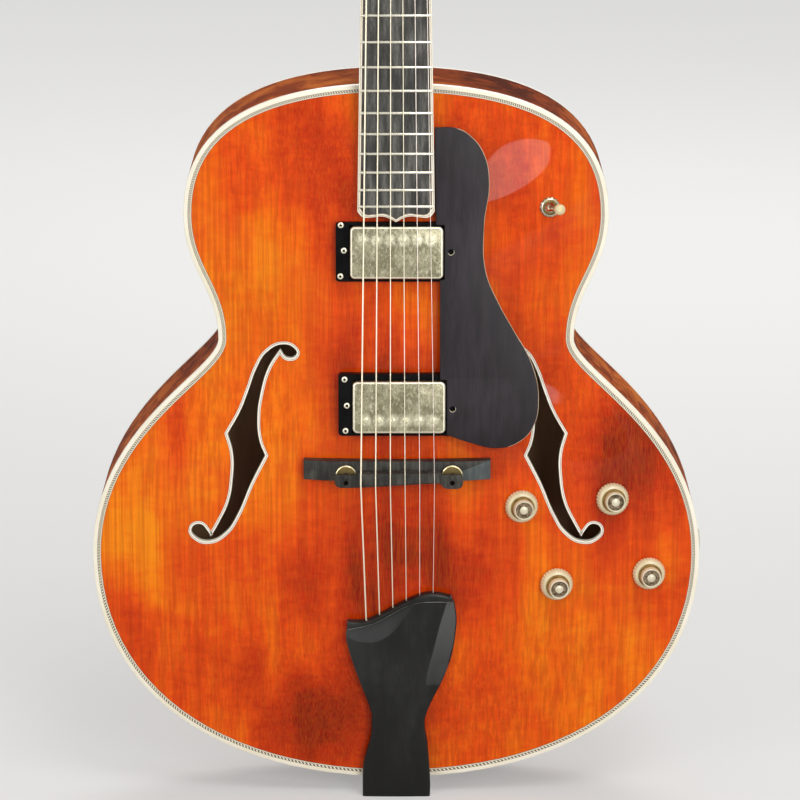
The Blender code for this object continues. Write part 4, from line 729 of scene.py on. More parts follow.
def archedSpot(edge, ledge, row, column, rows):
    # a point of the arched face: column 0 on the edge, 1 on the ledge, the last on the ridge
    b = body
    share = max(column - 1, 0) / b["rings"]
    along = row / rows
    topZ = b["ridgeLow"] + (b["ridgeHigh"] - b["ridgeLow"]) * along
    reach = (topZ - b["ridgeTop"]) / (b["ridgeHigh"] - b["ridgeTop"])
    topHeight = b["arch"] * (1 - b["ridgeFall"] * reach ** 2)
    start = ledge[row] if column else edge[row]
    place = start.lerp(Vector((0, topZ)), share)
    height = topHeight * (1 - cos(pi * share ** b["sharpness"])) / 2
    x = place.x if place.x > 0.00001 else 0
    return Vector((x, -b["half"] - height, place.y))


def archedSheet(edgeInset):
    rows = 4 * body["steps"]
    columns = body["rings"] + 1
    edge = insetHalf(edgeInset)
    ledge = insetHalf(body["ledge"])
    return gridPiece(columns, rows,
                     lambda u, v: archedSpot(edge, ledge, round(v * rows), round(u * columns), rows))


def faceFront(piece):
    if sum(face.normal.y * face.area for face in piece.data.polygons) > 0:
        with editing(piece):
            bpy.ops.mesh.flip_normals()
    return piece


def archedPlate(edgeInset, thickness, forward=0.0):
    # both halves of the arched face, moved forwards and thickened inwards
    sheet = faceFront(archedSheet(edgeInset))
    change(sheet, "MIRROR", use_axis=(True, False, False), use_clip=True, merge_threshold=0.00001)
    if forward:
        moveTo(sheet, Matrix.Translation((0, -forward, 0)))
    return change(sheet, "SOLIDIFY", thickness=thickness, offset=-1)


def archedTool():
    # everything below the top's surface, to seat a piece on it
    return archedPlate(-0.004, 0.06, gap)


def surfaceFinder():
    sheet = archedSheet(0)
    tree = BVHTree.FromPolygons([v.co for v in sheet.data.vertices], [p.vertices for p in sheet.data.polygons])
    discard(sheet)

    def find(x, z):
        # the place on the top in front of (x, z), and its outward direction
        spot, normal, _, _ = tree.ray_cast(Vector((abs(x), -1, z)), Vector((0, 1, 0)))
        if x < 0:
            spot.x = -spot.x
            normal.x = -normal.x
        return spot, normal if normal.y < 0 else -normal

    return find


def sweptRing(section):
    # a closed section of (inset, y) points carried once round the body's outline
    loops = [insetLoop(inset) for inset, _ in section]
    count = len(section)
    length = len(loops[0]) - 1

    def spot(u, v):
        corner = round(u * count) % count
        point = loops[corner][round(v * length)]
        return Vector((point.x, section[corner][1], point.y))

    return sealSeams(gridPiece(count, length, spot))


# The sound box: top, back, sides and their edgings

edging = {"cream": 0.0030, "rope": 0.0030, "backLine": 0.0016, "backRise": 0.0016, "proud": 0.00012,
          "seam": 0.00005, "lip": 0.0006}
fHole = {
    "edge": [
        (0.0837, 0.0973), (0.0958, 0.0907), (0.1036, 0.0781), (0.1097, 0.0615), (0.1158, 0.0461),
        (0.1255, 0.0288), (0.1216, 0.0142), (0.1218, -0.0046), (0.1250, -0.0226), (0.1329, -0.0398),
        (0.1386, -0.0500), (0.1406, -0.0463), (0.1472, -0.0405), (0.1533, -0.0450), (0.1495, -0.0517),
        (0.1396, -0.0537), (0.1274, -0.0465), (0.1185, -0.0326), (0.1084, -0.0087), (0.0973, 0.0135),
        (0.1016, 0.0247), (0.1030, 0.0422), (0.1006, 0.0596), (0.0948, 0.0788), (0.0859, 0.0931),
        (0.0805, 0.0871), (0.0736, 0.0901), (0.0750, 0.0945),
    ],
    "corners": (5, 10, 19, 24), "edging": 0.0022, "fine": 7,
    # how far across the edging its rings of points lie
    "shares": (0.0, 0.25, 0.5, 0.59, 0.75, 0.92, 1.0),
}


def fHoleLine(side):
    # the hole's edge as a dense closed line, from a curve drawn through its points
    points = [(side * x, z + neck["bridgeZ"]) for x, z in fHole["edge"]]
    smooth = [i for i in range(len(points)) if i not in fHole["corners"]]
    plate = drawnPlate(points, smooth, 0.002, 0.0, fHole["fine"])
    count = len(plate.data.vertices) // 2
    front = min(v.co.y for v in plate.data.vertices)
    rim = {v.index: Vector((v.co.x, v.co.z)) for v in plate.data.vertices if abs(v.co.y - front) < 0.0001}
    follow = {}
    for edge in plate.data.edges:
        a, b = edge.vertices
        if a in rim and b in rim and len(rim) == count:
            follow.setdefault(a, []).append(b)
            follow.setdefault(b, []).append(a)
    walls = {frozenset(pair) for face in plate.data.polygons if abs(face.normal.y) < 0.5
             for pair in face.edge_keys}
    start = next(iter(rim))
    line = [start]
    while True:
        ahead = [n for n in follow[line[-1]] if frozenset((line[-1], n)) in walls and n not in line]
        if not ahead:
            break
        line.append(ahead[0])
    points = [rim[i] for i in line]
    discard(plate)
    turning = sum(a.x * b.y - b.x * a.y for a, b in zip(points, points[1:] + points[:1]))
    return points if turning > 0 else points[::-1]


def pushedOut(points, distance):
    # the closed line moved outwards by a distance, its corners kept sharp
    moved = []
    for index, point in enumerate(points):
        into = (point - points[index - 1]).normalized()
        away = (points[(index + 1) % len(points)] - point).normalized()
        normal = Vector((into.y + away.y, -into.x - away.x)).normalized()
        share = max(normal.dot(Vector((into.y, -into.x))), 0.45)
        moved.append(point + normal * distance / share)
    return moved


def makeSoundHoleEdging(surface, side, name):
    line = fHoleLine(side)
    rings = [pushedOut(line, share * fHole["edging"]) for share in fHole["shares"]]
    count = len(line)
    over = [[surface(p.x, p.y)[0] + Vector((0, -edging["proud"], 0)) for p in ring] for ring in rings]
    under = [[p + Vector((0, body["plate"], 0)) for p in over[0]],
             [p + Vector((0, 0.001, 0)) for p in over[-1]]]
    levels = [under[0]] + over + [under[1]]
    uAt = [0.0, *fHole["shares"], 1.0, 1.0]
    total = len(levels)
    ring = gridPiece(total, count, lambda u, v: levels[round(u * total) % total][round(v * count) % count])
    layer = ring.data.uv_layers.active.data
    for loop in ring.data.loops:
        layer[loop.index].uv.x = uAt[round(layer[loop.index].uv.x * total)]
    sealSeams(ring)
    finish(ring, name, "holeEdging")
    return line


def makeSoundBox(surface):
    top = archedPlate(edging["cream"] + edging["rope"] + 2 * edging["seam"], body["plate"])
    for side, name in ((-1, "sound_hole_edging_bass"), (1, "sound_hole_edging_treble")):
        line = makeSoundHoleEdging(surface, side, name)
        cutAway(top, prism(pushedOut(line, fHole["edging"] - 0.0001), -0.09, -0.02))
    for label in ("neck", "bridge"):
        cutAway(top, pickupTool(label))
    finish(top, "top", "topLacquer", replaced=("top_plate",), smooth=30)

    back = archedPlate(edging["backLine"] + edging["seam"], body["plate"])
    moveTo(back, Matrix.Rotation(pi, 4, "Z"))
    finish(back, "back", "sideLacquer", replaced=("back_plate",), smooth=30)
    secondLook(back, "insideWood", lambda face: face.normal.y < -0.3)

    half = body["half"]
    inner = half - body["plate"]
    thin = edging["backLine"]
    backSeat = inner - edging["backRise"]
    sides = sweptRing([(0, -inner), (0, backSeat), (thin, backSeat), (thin, inner), (body["side"], inner),
                       (body["side"], -inner)])
    finish(sides, "sides", "sideLacquer", replaced=("rim",), smooth=30)

    cream = edging["cream"]
    lip = edging["lip"]
    strip = sweptRing([(0, -inner), (0, lip - half), (lip * 0.3, lip * 0.3 - half), (lip, -half),
                       (cream, -half), (cream, -inner)])
    finish(strip, "top_edging", "creamBinding", replaced=("top_binding",))
    band = cream + edging["rope"]
    rope = sweptRing([(cream, -half - edging["proud"] * 0.5), (band, -half - edging["proud"] * 0.5),
                      (band, -half + 0.001), (cream, -half + 0.001)])
    layer = rope.data.uv_layers.active.data
    for loop in rope.data.loops:
        layer[loop.index].uv.x = min(layer[loop.index].uv.x * 4, 1.0)
    finish(rope, "rope_inlay", "ropeInlay")
    strip = sweptRing([(0, backSeat), (0, half - lip), (lip * 0.3, half - lip * 0.3), (lip, half),
                       (thin, half), (thin, backSeat)])
    finish(strip, "back_edging", "backLine", replaced=("back_binding",))


# Pickups, their rings and the guard

pickup = {
    "length": 0.0683, "width": 0.0385, "height": 0.024, "below": 0.0026, "clearance": 0.0006,
    "corner": 0.0035, "edge": 0.0015, "ringEnd": 0.010, "ringStrip": 0.0021, "bridgeStrip": 0.0042,
    "ringTop": 0.0084,
    "poleRadius": 0.0024, "poleRow": 0.0095, "poleSpread": 0.0492, "wall": 0.0012, "slack": 0.0012,
    "ringDepth": 0.030, "screwRadius": 0.0023, "screwRise": 0.0010, "recess": 0.0014,
}
# the ring screws, as (x, along) in the neck's frame
ringScrews = {"neck": ((-0.04041, 0.19082), (-0.03817, 0.17211), (-0.04079, 0.15315)),
              "bridge": ((-0.0379, 0.0766), (-0.0362, 0.0571), (-0.0372, 0.0383))}
pickupAt = {"neck": (0.0005, 0.171013), "bridge": (0.0022, 0.0564)}
guard = {"below": 0.0046, "thickness": 0.0032, "clearance": 0.0008, "top": 0.2628, "foot": 0.036,
         "inner": 0.0322, "screwHole": 0.0021, "edge": 0.0008, "screwsAt": ((0.0402, 0.17154), (0.0416, 0.05523))}


def pickupFrame(label, below):
    x, along = pickupAt[label]
    return neckFrame @ Matrix.Translation((x, below, along))


def poleSpot(index, row):
    return Vector(((index / 5 - 0.5) * pickup["poleSpread"], 0, row * pickup["poleRow"]))


def pickupTool(label):
    # cuts the top's hole under a pickup
    size = (pickup["length"] + pickup["slack"], 0.09, pickup["width"] + pickup["slack"])
    tool = blockPiece(size, (0, 0.04, 0))
    return moveTo(tool, pickupFrame(label, 0))


def roundedBlock(length, width, height, corner, edge):
    # length along X, width along Z, height inwards from y 0
    block = blockPiece((length, height, width), (0, height / 2, 0))
    with editing(block, "DESELECT"):
        bpy.ops.mesh.select_mode(type="EDGE")
    for line in block.data.edges:
        a, b = (block.data.vertices[i].co for i in line.vertices)
        line.select = abs(a.y - b.y) > height / 2
    with editing(block, None):
        bpy.ops.mesh.bevel(offset=corner, segments=6, affect="EDGES")
        bpy.ops.mesh.select_all(action="DESELECT")
    for face in block.data.polygons:
        face.select = face.normal.y < -0.9
    with editing(block, None):
        bpy.ops.mesh.region_to_loop()
        bpy.ops.mesh.bevel(offset=edge, segments=4, affect="EDGES")
    return block


def screwHead(radius, height, slotWidth, cross=False):
    # a domed head standing out of y 0, with a cut slot or a cross
    head = turnedPiece([(radius * 0.96, -0.0006), (radius, 0.0), (radius, height * 0.35),
                        (radius * 0.9, height * 0.7), (radius * 0.65, height * 0.93), (radius * 0.3, height)], 24)
    turns, reach, depth = ((0, pi / 2), 0.95, 0.7) if cross else ((0.5,), 2.4, 0.95)
    for turn in turns:
        cutter = blockPiece((radius * reach, slotWidth, height), (0, 0, height * depth))
        cutAway(head, moveTo(cutter, Matrix.Rotation(turn, 4, "Z")))
    return moveTo(head, Matrix.Rotation(pi / 2, 4, "X"))


def makePickups():
    front = neckFrame.to_3x3() @ Vector((0, -1, 0))
    poleHead = screwHead(pickup["poleRadius"], 0.0006, 0.0005)
    smallScrew = screwHead(pickup["screwRadius"], pickup["screwRise"], 0.0010, cross=True)
    length, width, wall = pickup["length"], pickup["width"], pickup["wall"]
    for label, row in (("neck", 1), ("bridge", -1)):
        cover = roundedBlock(length, width, pickup["height"], pickup["corner"], pickup["edge"])
        inner = (length - 2 * wall, pickup["height"], width - 2 * wall)
        well = blockPiece(inner, (0, pickup["height"] / 2 + wall, 0))
        cutAway(cover, well)
        moveTo(cover, pickupFrame(label, pickup["below"]))
        node = "pickup_" + label
        finish(cover, "pickup_cover_" + label, "coverNickel", node, (node,), 40)
        # the rounded edges are painted bright, partly worn plating and partly a painted highlight
        secondLook(cover, "rimWearAndHighlight", lambda face: 0.25 < face.normal.dot(front) < 0.995)
        level = pickupFrame(label, pickup["below"])
        heads = [twin(poleHead, level @ Matrix.Translation(poleSpot(index, row))
                      @ Matrix.Rotation(0.4 + index * 0.9, 4, "Y")) for index in range(6)]
        finish(joinPieces(heads), "pole_screws_" + label, "wornPole", "pickup_" + label, (), 40)

        # the bridge pickup's ring is wider on the neck's side
        strip, upper = pickup["ringStrip"], pickup["bridgeStrip" if label == "bridge" else "ringStrip"]
        insideLength, insideWidth = length + 2 * pickup["clearance"], width + 2 * pickup["clearance"]
        ring = roundedBlock(insideLength + 2 * pickup["ringEnd"], insideWidth + strip + upper,
                            pickup["ringDepth"], 0.0025, 0.0007)
        moveTo(ring, pickupFrame(label, pickup["ringTop"]) @ Matrix.Translation((0, 0, (upper - strip) / 2)))
        window = blockPiece((insideLength, 0.12, insideWidth), (0, 0, 0))
        cutAway(ring, moveTo(window, pickupFrame(label, pickup["ringTop"])))
        cutAway(ring, archedTool())
        finish(ring, "ring_" + label, "blackPlastic", "guitar", ("pickup_ring_" + label,), 35)
        places = [neckFrame @ Matrix.Translation((sx, pickup["ringTop"], sz)) @ Matrix.Rotation(sz * 40, 4, "Y")
                  for sx, sz in ringScrews[label]]
        screws = joinPieces([twin(smallScrew, place) for place in places])
        finish(screws, "ring_screws_" + label, "rimWearAndHighlight", "guitar", (), 40)

        # the screws' cross recesses are painted near-black, painted shade in them
        def inRecess(face):
            spots = [place.inverted() @ face.center for place in places]
            return any(spot.xz.length < pickup["recess"] and -0.0008 < spot.y < 0 for spot in spots)

        secondLook(screws, "paintedHoleShade", inRecess)
    discard(poleHead)
    discard(smallScrew)


def guardOutline():
    g = guard
    neckX, neckAt = pickupAt["neck"]
    bridgeX, bridgeAt = pickupAt["bridge"]
    reach = pickup["width"] / 2 + g["clearance"]
    side = pickup["length"] / 2 + g["clearance"]
    curved = [
        (0.0450, 0.2620), (0.0540, 0.2570), (0.0640, 0.2440), (0.0682, 0.2240), (0.0645, 0.1900),
        (0.0659, 0.1570), (0.0762, 0.1319), (0.0858, 0.1148), (0.0998, 0.0890), (0.1050, 0.0640),
        (0.1010, 0.0415), (0.0900, 0.0300), (0.0750, 0.0258), (0.0545, 0.0299),
    ]
    corners = [
        (bridgeX + side, g["foot"]), (bridgeX + side, bridgeAt + reach), (g["inner"], bridgeAt + reach),
        (g["inner"], neckAt - reach), (neckX + side, neckAt - reach), (neckX + side, neckAt + reach),
        (boardHalf(neck["boardFrom"]) + g["clearance"], neckAt + reach),
        (boardHalf(g["top"]) + g["clearance"], g["top"]),
    ]
    return curved, corners


def makeGuard():
    curved, corners = guardOutline()
    plate = drawnPlate(curved + corners, range(len(curved)), guard["thickness"], guard["edge"], 10)
    moveTo(plate, neckFrame @ Matrix.Translation((0, guard["below"] + guard["thickness"] / 2, 0)))
    holes = []
    hole = guard["screwHole"]
    for x, along in guard["screwsAt"]:
        place = neckFrame @ Matrix.Translation((x, guard["below"], along))
        holes.append(place.to_translation())
        tool = turnedPiece([(hole, -0.01), (hole, 0.01)], 28)
        cutAway(plate, moveTo(tool, place @ Matrix.Rotation(pi / 2, 4, "X")))
    finish(plate, "guard", "guardWood", replaced=("pickguard",))
    outward = neckFrame.to_3x3() @ Vector((0, -1, 0))

    def onPaleEdge(face):
        bevelled = 0.2 < face.normal.dot(outward) < 0.9 and face.area < 0.00002
        inHole = any((face.center - centre).length < hole * 1.3 for centre in holes)
        return bevelled and face.normal.x > 0.2 or inHole and face.normal.x < 0.3 and face.normal.z > 0.1

    secondLook(plate, "guardEdge", onPaleEdge)
    # a painted highlight: a bright line round the lower left of each screw hole
    turns = [radians(turn) for turn in range(-165, 31, 15)]
    points = [(hole * 1.12 * cos(turn), -0.0001, hole * 1.12 * sin(turn)) for turn in turns]
    arcs = [moveTo(wireThrough(points, 0.00024), Matrix.Translation(centre) @ neckFrame.to_3x3().to_4x4())
            for centre in holes]
    finish(joinPieces(arcs), "guard_hole_highlights", "rimWearAndHighlight", smooth=60)
    support = cadCopy("pickguard_support", 0.0004)
    finish(support, "guard_support", "brightNickel", replaced=("pickguard_support",))


# Fretboard, neck and headstock

def boardHalf(along, margin=0.0):
    share = (along - neck["boardFrom"]) / (neck["nutAt"] - neck["boardFrom"])
    return (neck["boardEnd"] + (neck["boardNut"] - neck["boardEnd"]) * share) / 2 - margin


def boardSide(margin):
    end = neck["boardFrom"] + margin
    half = boardHalf(neck["boardFrom"], margin)
    point = neck["boardPoint"]
    return [(0, end - point), (0.14 * half, end - 0.62 * point), (0.36 * half, end - 0.30 * point),
            (0.62 * half, end - 0.42 * point), (0.86 * half, end - 0.40 * point), (half, end + 0.3 * point),
            (boardHalf(neck["nutAt"], margin), neck["nutAt"])]


def makeFretboard():
    depth = neck["boardThickness"]
    level = Matrix.Translation((0, neck["action"] + depth / 2, 0))
    edge = neck["binding"]
    smooth = (1, 2, 3, 4, 9, 10, 11, 12)
    board = drawnPlate(mirrored(boardSide(edge)), smooth, depth, 0.0, 8)
    moveTo(board, neckFrame @ level)
    finish(board, "board", "boardEbony", replaced=("fretboard",))
    rim = drawnPlate(mirrored(boardSide(0)), smooth, depth, 0.0005, 8)
    window = drawnPlate(mirrored(boardSide(edge + 0.00004)), smooth, depth * 2, 0.0, 8)
    cutAway(rim, window)
    moveTo(rim, neckFrame @ level)
    finish(rim, "board_edging", "creamBinding", replaced=("fretboard_binding",))
    lines = []
    for inset in (edge, edge * 0.45):
        side = boardSide(inset)
        loop = [(-x, z) for x, z in reversed(side)] + side[1:]
        points = [(x, neck["action"] - 0.00002, z) for x, z in loop]
        lines.append(moveTo(wireThrough(points, 0.00014), neckFrame))
    finish(joinPieces(lines), "board_lines", "thinLine")

    wires = []
    for number in range(1, neck["frets"] + 1):
        along = neck["compensation"] + neck["scale"] * 2 ** (-number / 12)
        half = boardHalf(along, edge * 0.35)
        clearSelection()
        bpy.ops.mesh.primitive_cylinder_add(vertices=20, radius=neck["fretRadius"], depth=2 * half,
                                            rotation=(0, pi / 2, 0))
        wire = roundEdges(settle(), 0.0004, 2, 50)
        wires.append(moveTo(wire, neckFrame @ Matrix.Translation((0, neck["action"], along))))
    finish(joinPieces(wires), "frets", "brightNickel", smooth=40)


def wireThrough(points, radius, fine=1):
    # a thin round wire along a chain of points
    clearSelection()
    bpy.ops.curve.primitive_bezier_curve_add()
    drawn = bpy.context.object
    line = drawn.data
    line.dimensions = "3D"
    line.splines.clear()
    chain = line.splines.new("POLY")
    chain.points.add(len(points) - 1)
    for point, place in zip(chain.points, points):
        point.co = (*place, 1)
    line.bevel_depth = radius
    line.bevel_resolution = fine
    line.use_fill_caps = True
    bpy.ops.object.convert(target="MESH")
    return sealSeams(settle())


def neckTopY(z):
    # where the neck's flat top is at a height
    return (-body["half"] - neck["stringHeight"] + (z - neck["bridgeZ"]) * tan(neck["angle"])
            + neck["top"] / cos(neck["angle"]))


def makeNeck():
    # the heel's sizes, the neck's depth at the nut and by the heel, and where round it the flat top starts
    heel = {"length": 0.062, "cap": 0.012, "half": 0.015, "stop": 0.006, "nut": 0.0145, "deep": 0.0175,
            "flat": 0.75}
    low = body["length"] + gap
    high = headFrame.translation.z + 0.004
    rows, around = 64, 28

    def depthAt(z):
        fall = min(max((z - low - heel["cap"]) / (heel["length"] - heel["cap"]), 0), 1)
        full = body["half"] - heel["stop"] - neckTopY(z)
        share = min(max((z - low - heel["length"]) / (high - low - heel["length"]), 0), 1)
        slim = heel["deep"] + (heel["nut"] - heel["deep"]) * share
        return slim + (full - slim) * (1 - fall) ** 3, fall

    def spot(u, v):
        z = low + (high - low) * (v ** 1.8)
        depth, fall = depthAt(z)
        half = boardHalf((z - neck["bridgeZ"]) / cos(neck["angle"]))
        back = heel["half"] + (half - heel["half"]) * fall
        turn = pi * min(u / heel["flat"], 1)
        share = sin(turn) ** 0.75 if 0 < turn < pi else 0
        width = half + (back - half) * share ** 2
        if u > heel["flat"]:
            return Vector((width * (1 - 2 * (u - heel["flat"]) / (1 - heel["flat"])), neckTopY(z), z))
        return Vector((-cos(turn) * width, neckTopY(z) + depth * share, z))

    shaft = capEnds(gridPiece(around, rows, spot))
    finish(shaft, "neck_shaft", "neckLacquer", smooth=40)
    thick, veneerThick = neck["headThickness"], neck["veneer"]
    head = drawnPlate(mirrored(headSide(0)), range(1, 14), thick, 0.0012)
    moveTo(head, headFrame @ Matrix.Translation((0, thick / 2, 0)))
    finish(withPostHoles(head), "head", "neckLacquer", replaced=("neck",), smooth=40)
    width, depth, length = neck["tongue"]
    centre = (0, neck["top"] + gap + depth / 2, neck["boardFrom"] + neck["tongueFrom"] + length / 2)
    tongue = moveTo(blockPiece((width, depth, length), centre, 0.001), neckFrame)
    cutAway(tongue, archedTool())
    finish(tongue, "neck_tongue", "neckLacquer", smooth=40)
    veneer = drawnPlate(mirrored(headSide(0.001)), range(1, 14), veneerThick, 0.0004)
    moveTo(veneer, headFrame @ Matrix.Translation((0, -veneerThick / 2 - gap, 0)))
    withPostHoles(veneer)
    finish(veneer, "head_veneer", "satinEbony", replaced=("headstock_veneer",), smooth=40)
    cover = cadCopy("truss_rod_cover", 0.0003)
    finish(cover, "rod_cover", "creamBinding", replaced=("truss_rod_cover",))
    nut = cadCopy("nut", 0.0005, 3)
    finish(nut, "string_nut", "boneWhite", replaced=("nut",))


def headSide(start):
    # the headstock's treble side from the nut to the middle of its top
    half = neck["boardNut"] / 2
    widest, length = neck["headHalf"], neck["headLength"]
    return [
        (half, start), (half + 0.0015, 0.012), (widest - 0.003, 0.040), (widest, 0.056),
        (widest - 0.002, length * 0.62), (widest - 0.0005, length * 0.88), (widest * 0.72, length * 0.975),
        (0, length),
    ]


# Tuning machines

tuner = {"x": 0.0245, "first": 0.050, "spacing": 0.041, "postRadius": 0.003, "rise": 0.011, "gear": 0.006,
         "gearThickness": 0.0026, "teeth": 14, "strap": 0.0012,
         "button": (0.0034, 0.0088, 0.0074), "buttonAt": 0.0325, "spindle": 0.0012, "wormHalf": 0.005,
         "ridges": 7}


def postFrame(side, index):
    spot = Matrix.Translation((side * tuner["x"], 0, tuner["first"] + index * tuner["spacing"]))
    return headFrame @ spot @ Matrix.Rotation(pi / 2, 4, "X")


def withPostHoles(piece):
    for side in (-1, 1):
        for index in range(3):
            tool = turnedPiece([(neck["postHole"], -0.03), (neck["postHole"], 0.02)], 24)
            cutAway(piece, moveTo(tool, postFrame(side, index)))
    return piece


def makeTuners():
    radius = tuner["postRadius"]
    rise = tuner["rise"]
    back = -neck["headThickness"] - 2 * gap - tuner["strap"]
    upright = headFrame.to_3x3().to_4x4()
    for side, name in ((-1, "bass"), (1, "treble")):
        strap = cadCopy("tuner_plate_" + name, 0.0003)
        finish(strap, "machine_plate_" + name, "brightNickel", replaced=("tuner_plate_" + name,))
        for index in range(3):
            label = name + "_" + str(index + 1)
            shaft = turnedPiece([
                (radius, back), (radius, rise - 0.0045), (radius * 0.86, rise - 0.0038),
                (radius * 0.86, rise - 0.0018), (radius, rise - 0.0012), (radius, rise - 0.0005),
                (radius * 0.85, rise), (radius * 0.3, rise + 0.00005),
            ], 32)
            bore = turnedPiece([(0.0007, -0.01), (0.0007, 0.01)], 16)
            moveTo(bore, Matrix.Translation((0, 0, rise - 0.0028)) @ Matrix.Rotation(pi / 2, 4, "Y"))
            cutAway(shaft, bore)
            post = joinPieces([shaft, gearWheel(back - tuner["gearThickness"], back)])
            moveTo(post, postFrame(side, index))
            node = "tuner_post_" + label
            finish(post, "string_post_" + label, "brightNickel", node, (node,), 35)
            place = Matrix.Translation(joints["key_" + label]["pos_m"]) @ upright
            place = place @ Matrix.Rotation(side * pi / 2, 4, "Y")
            node = "tuner_key_" + label
            button = moveTo(keyButton(), place)
            finish(button, "key_button_" + label, "keyPearl", node, (node,), 50)
            worm = moveTo(wormShaft(), place)
            finish(worm, "key_shaft_" + label, "brightNickel", node, (), 35)


def gearWheel(low, high):
    radius = tuner["gear"]
    count = tuner["teeth"] * 4
    rings = [(False, low), (True, low), (True, high), (False, high)]

    def spot(u, v):
        index = round(v * count) % count
        outside, z = rings[round(u * 4) % 4]
        toothed = radius if index % 4 in (0, 1) else radius * 0.88
        r = toothed if outside else radius * 0.3
        turn = 2 * pi * (index + 0.5) / count
        return Vector((r * cos(turn), r * sin(turn), z))

    return sealSeams(gridPiece(4, count, spot))


def keyButton():
    # a flattened oval, slimmer towards its stem
    clearSelection()
    bpy.ops.mesh.primitive_uv_sphere_add(segments=40, ring_count=24, radius=1)
    button = bpy.context.object
    thick, wide, tall = tuner["button"]
    for vert in button.data.vertices:
        x, y, z = vert.co
        waist = 1 - 0.22 * max(-z, 0)
        vert.co = (x * thick * (1 - 0.25 * abs(x)), y * wide * waist, z * tall)
    return moveTo(button, Matrix.Translation((0, 0, tuner["buttonAt"])))


def wormShaft():
    # a spindle with a ridged worm under the plate and a collar below the button
    half, thin = tuner["wormHalf"], tuner["spindle"]
    pitch = 2 * half / tuner["ridges"]
    profile = [(thin, -half - 0.0046), (thin, -half)]
    for index in range(tuner["ridges"]):
        z = index * pitch - half
        profile += [(0.0021, z + 0.1 * pitch), (0.0028, z + 0.35 * pitch), (0.0028, z + 0.6 * pitch),
                    (0.0021, z + 0.85 * pitch)]
    profile += [(thin, half), (thin, 0.0205), (0.0019, 0.0212), (0.0024, 0.0235), (0.0019, 0.0262),
                (thin, 0.0272)]
    return turnedPiece(profile, 24)


# Bridge, tailpiece and strings

bridge = {
    "shift": 0.0057, "top": 0.029, "saddleWidth": 0.0085, "saddleShift": 0.0033, "saddleHeight": 0.0088,
    "footHeight": 0.0050, "wheel": 0.0079, "wheelThickness": 0.0025, "post": 0.002, "clearance": 0.0004,
    "bore": 0.0018, "boreShift": 0.0040, "floor": 0.001, "postBelow": 0.0016, "stub": 0.0014,
    "stubInto": 0.0013,
    "stubBore": 0.0017, "milling": 96,
}
wheelsAt = {"bass": -0.037, "treble": 0.0415}
strings = {"radii": (0.00062, 0.0005, 0.0004, 0.0003, 0.00024, 0.0002), "bridge": 0.0543, "nut": 0.0355,
           "tail": 0.050, "shiftBridge": 0.0012, "shiftTail": 0.0026, "inWood": 0.004, "crown": 0.003,
           "leaves": 0.3, "onPost": 0.0055, "wraps": 3, "wrapTilt": 0.08}


def stringX(index, width, shift=0.0):
    return (index / 5 - 0.5) * width + shift


# The saddle seen from the front, around its posts' line: its wide foot and the crest that carries the strings
saddleFoot = [
    (-0.0450, 0.0019), (-0.0291, 0.0019), (-0.0279, 0.00425), (0.0324, 0.00425), (0.0336, 0.0019),
    (0.0491, 0.0019), (0.0491, -0.0058), (0.0474, -0.0079), (0.0415, -0.0085), (0.0362, -0.0080),
    (0.0336, -0.0060), (0.0324, -0.0044),
    (0.0176, -0.0049), (0.0029, -0.0058), (-0.0082, -0.0065), (-0.0177, -0.0071), (-0.0288, -0.0076),
    (-0.0370, -0.0077), (-0.0428, -0.0072), (-0.0450, -0.0050),
]
saddleCrest = [
    (-0.0276, 0.0040), (0.0321, 0.0040), (0.0321, -0.0030), (0.0176, -0.0034), (0.0029, -0.0041),
    (-0.0082, -0.0047), (-0.0177, -0.0051), (-0.0276, -0.0053),
]


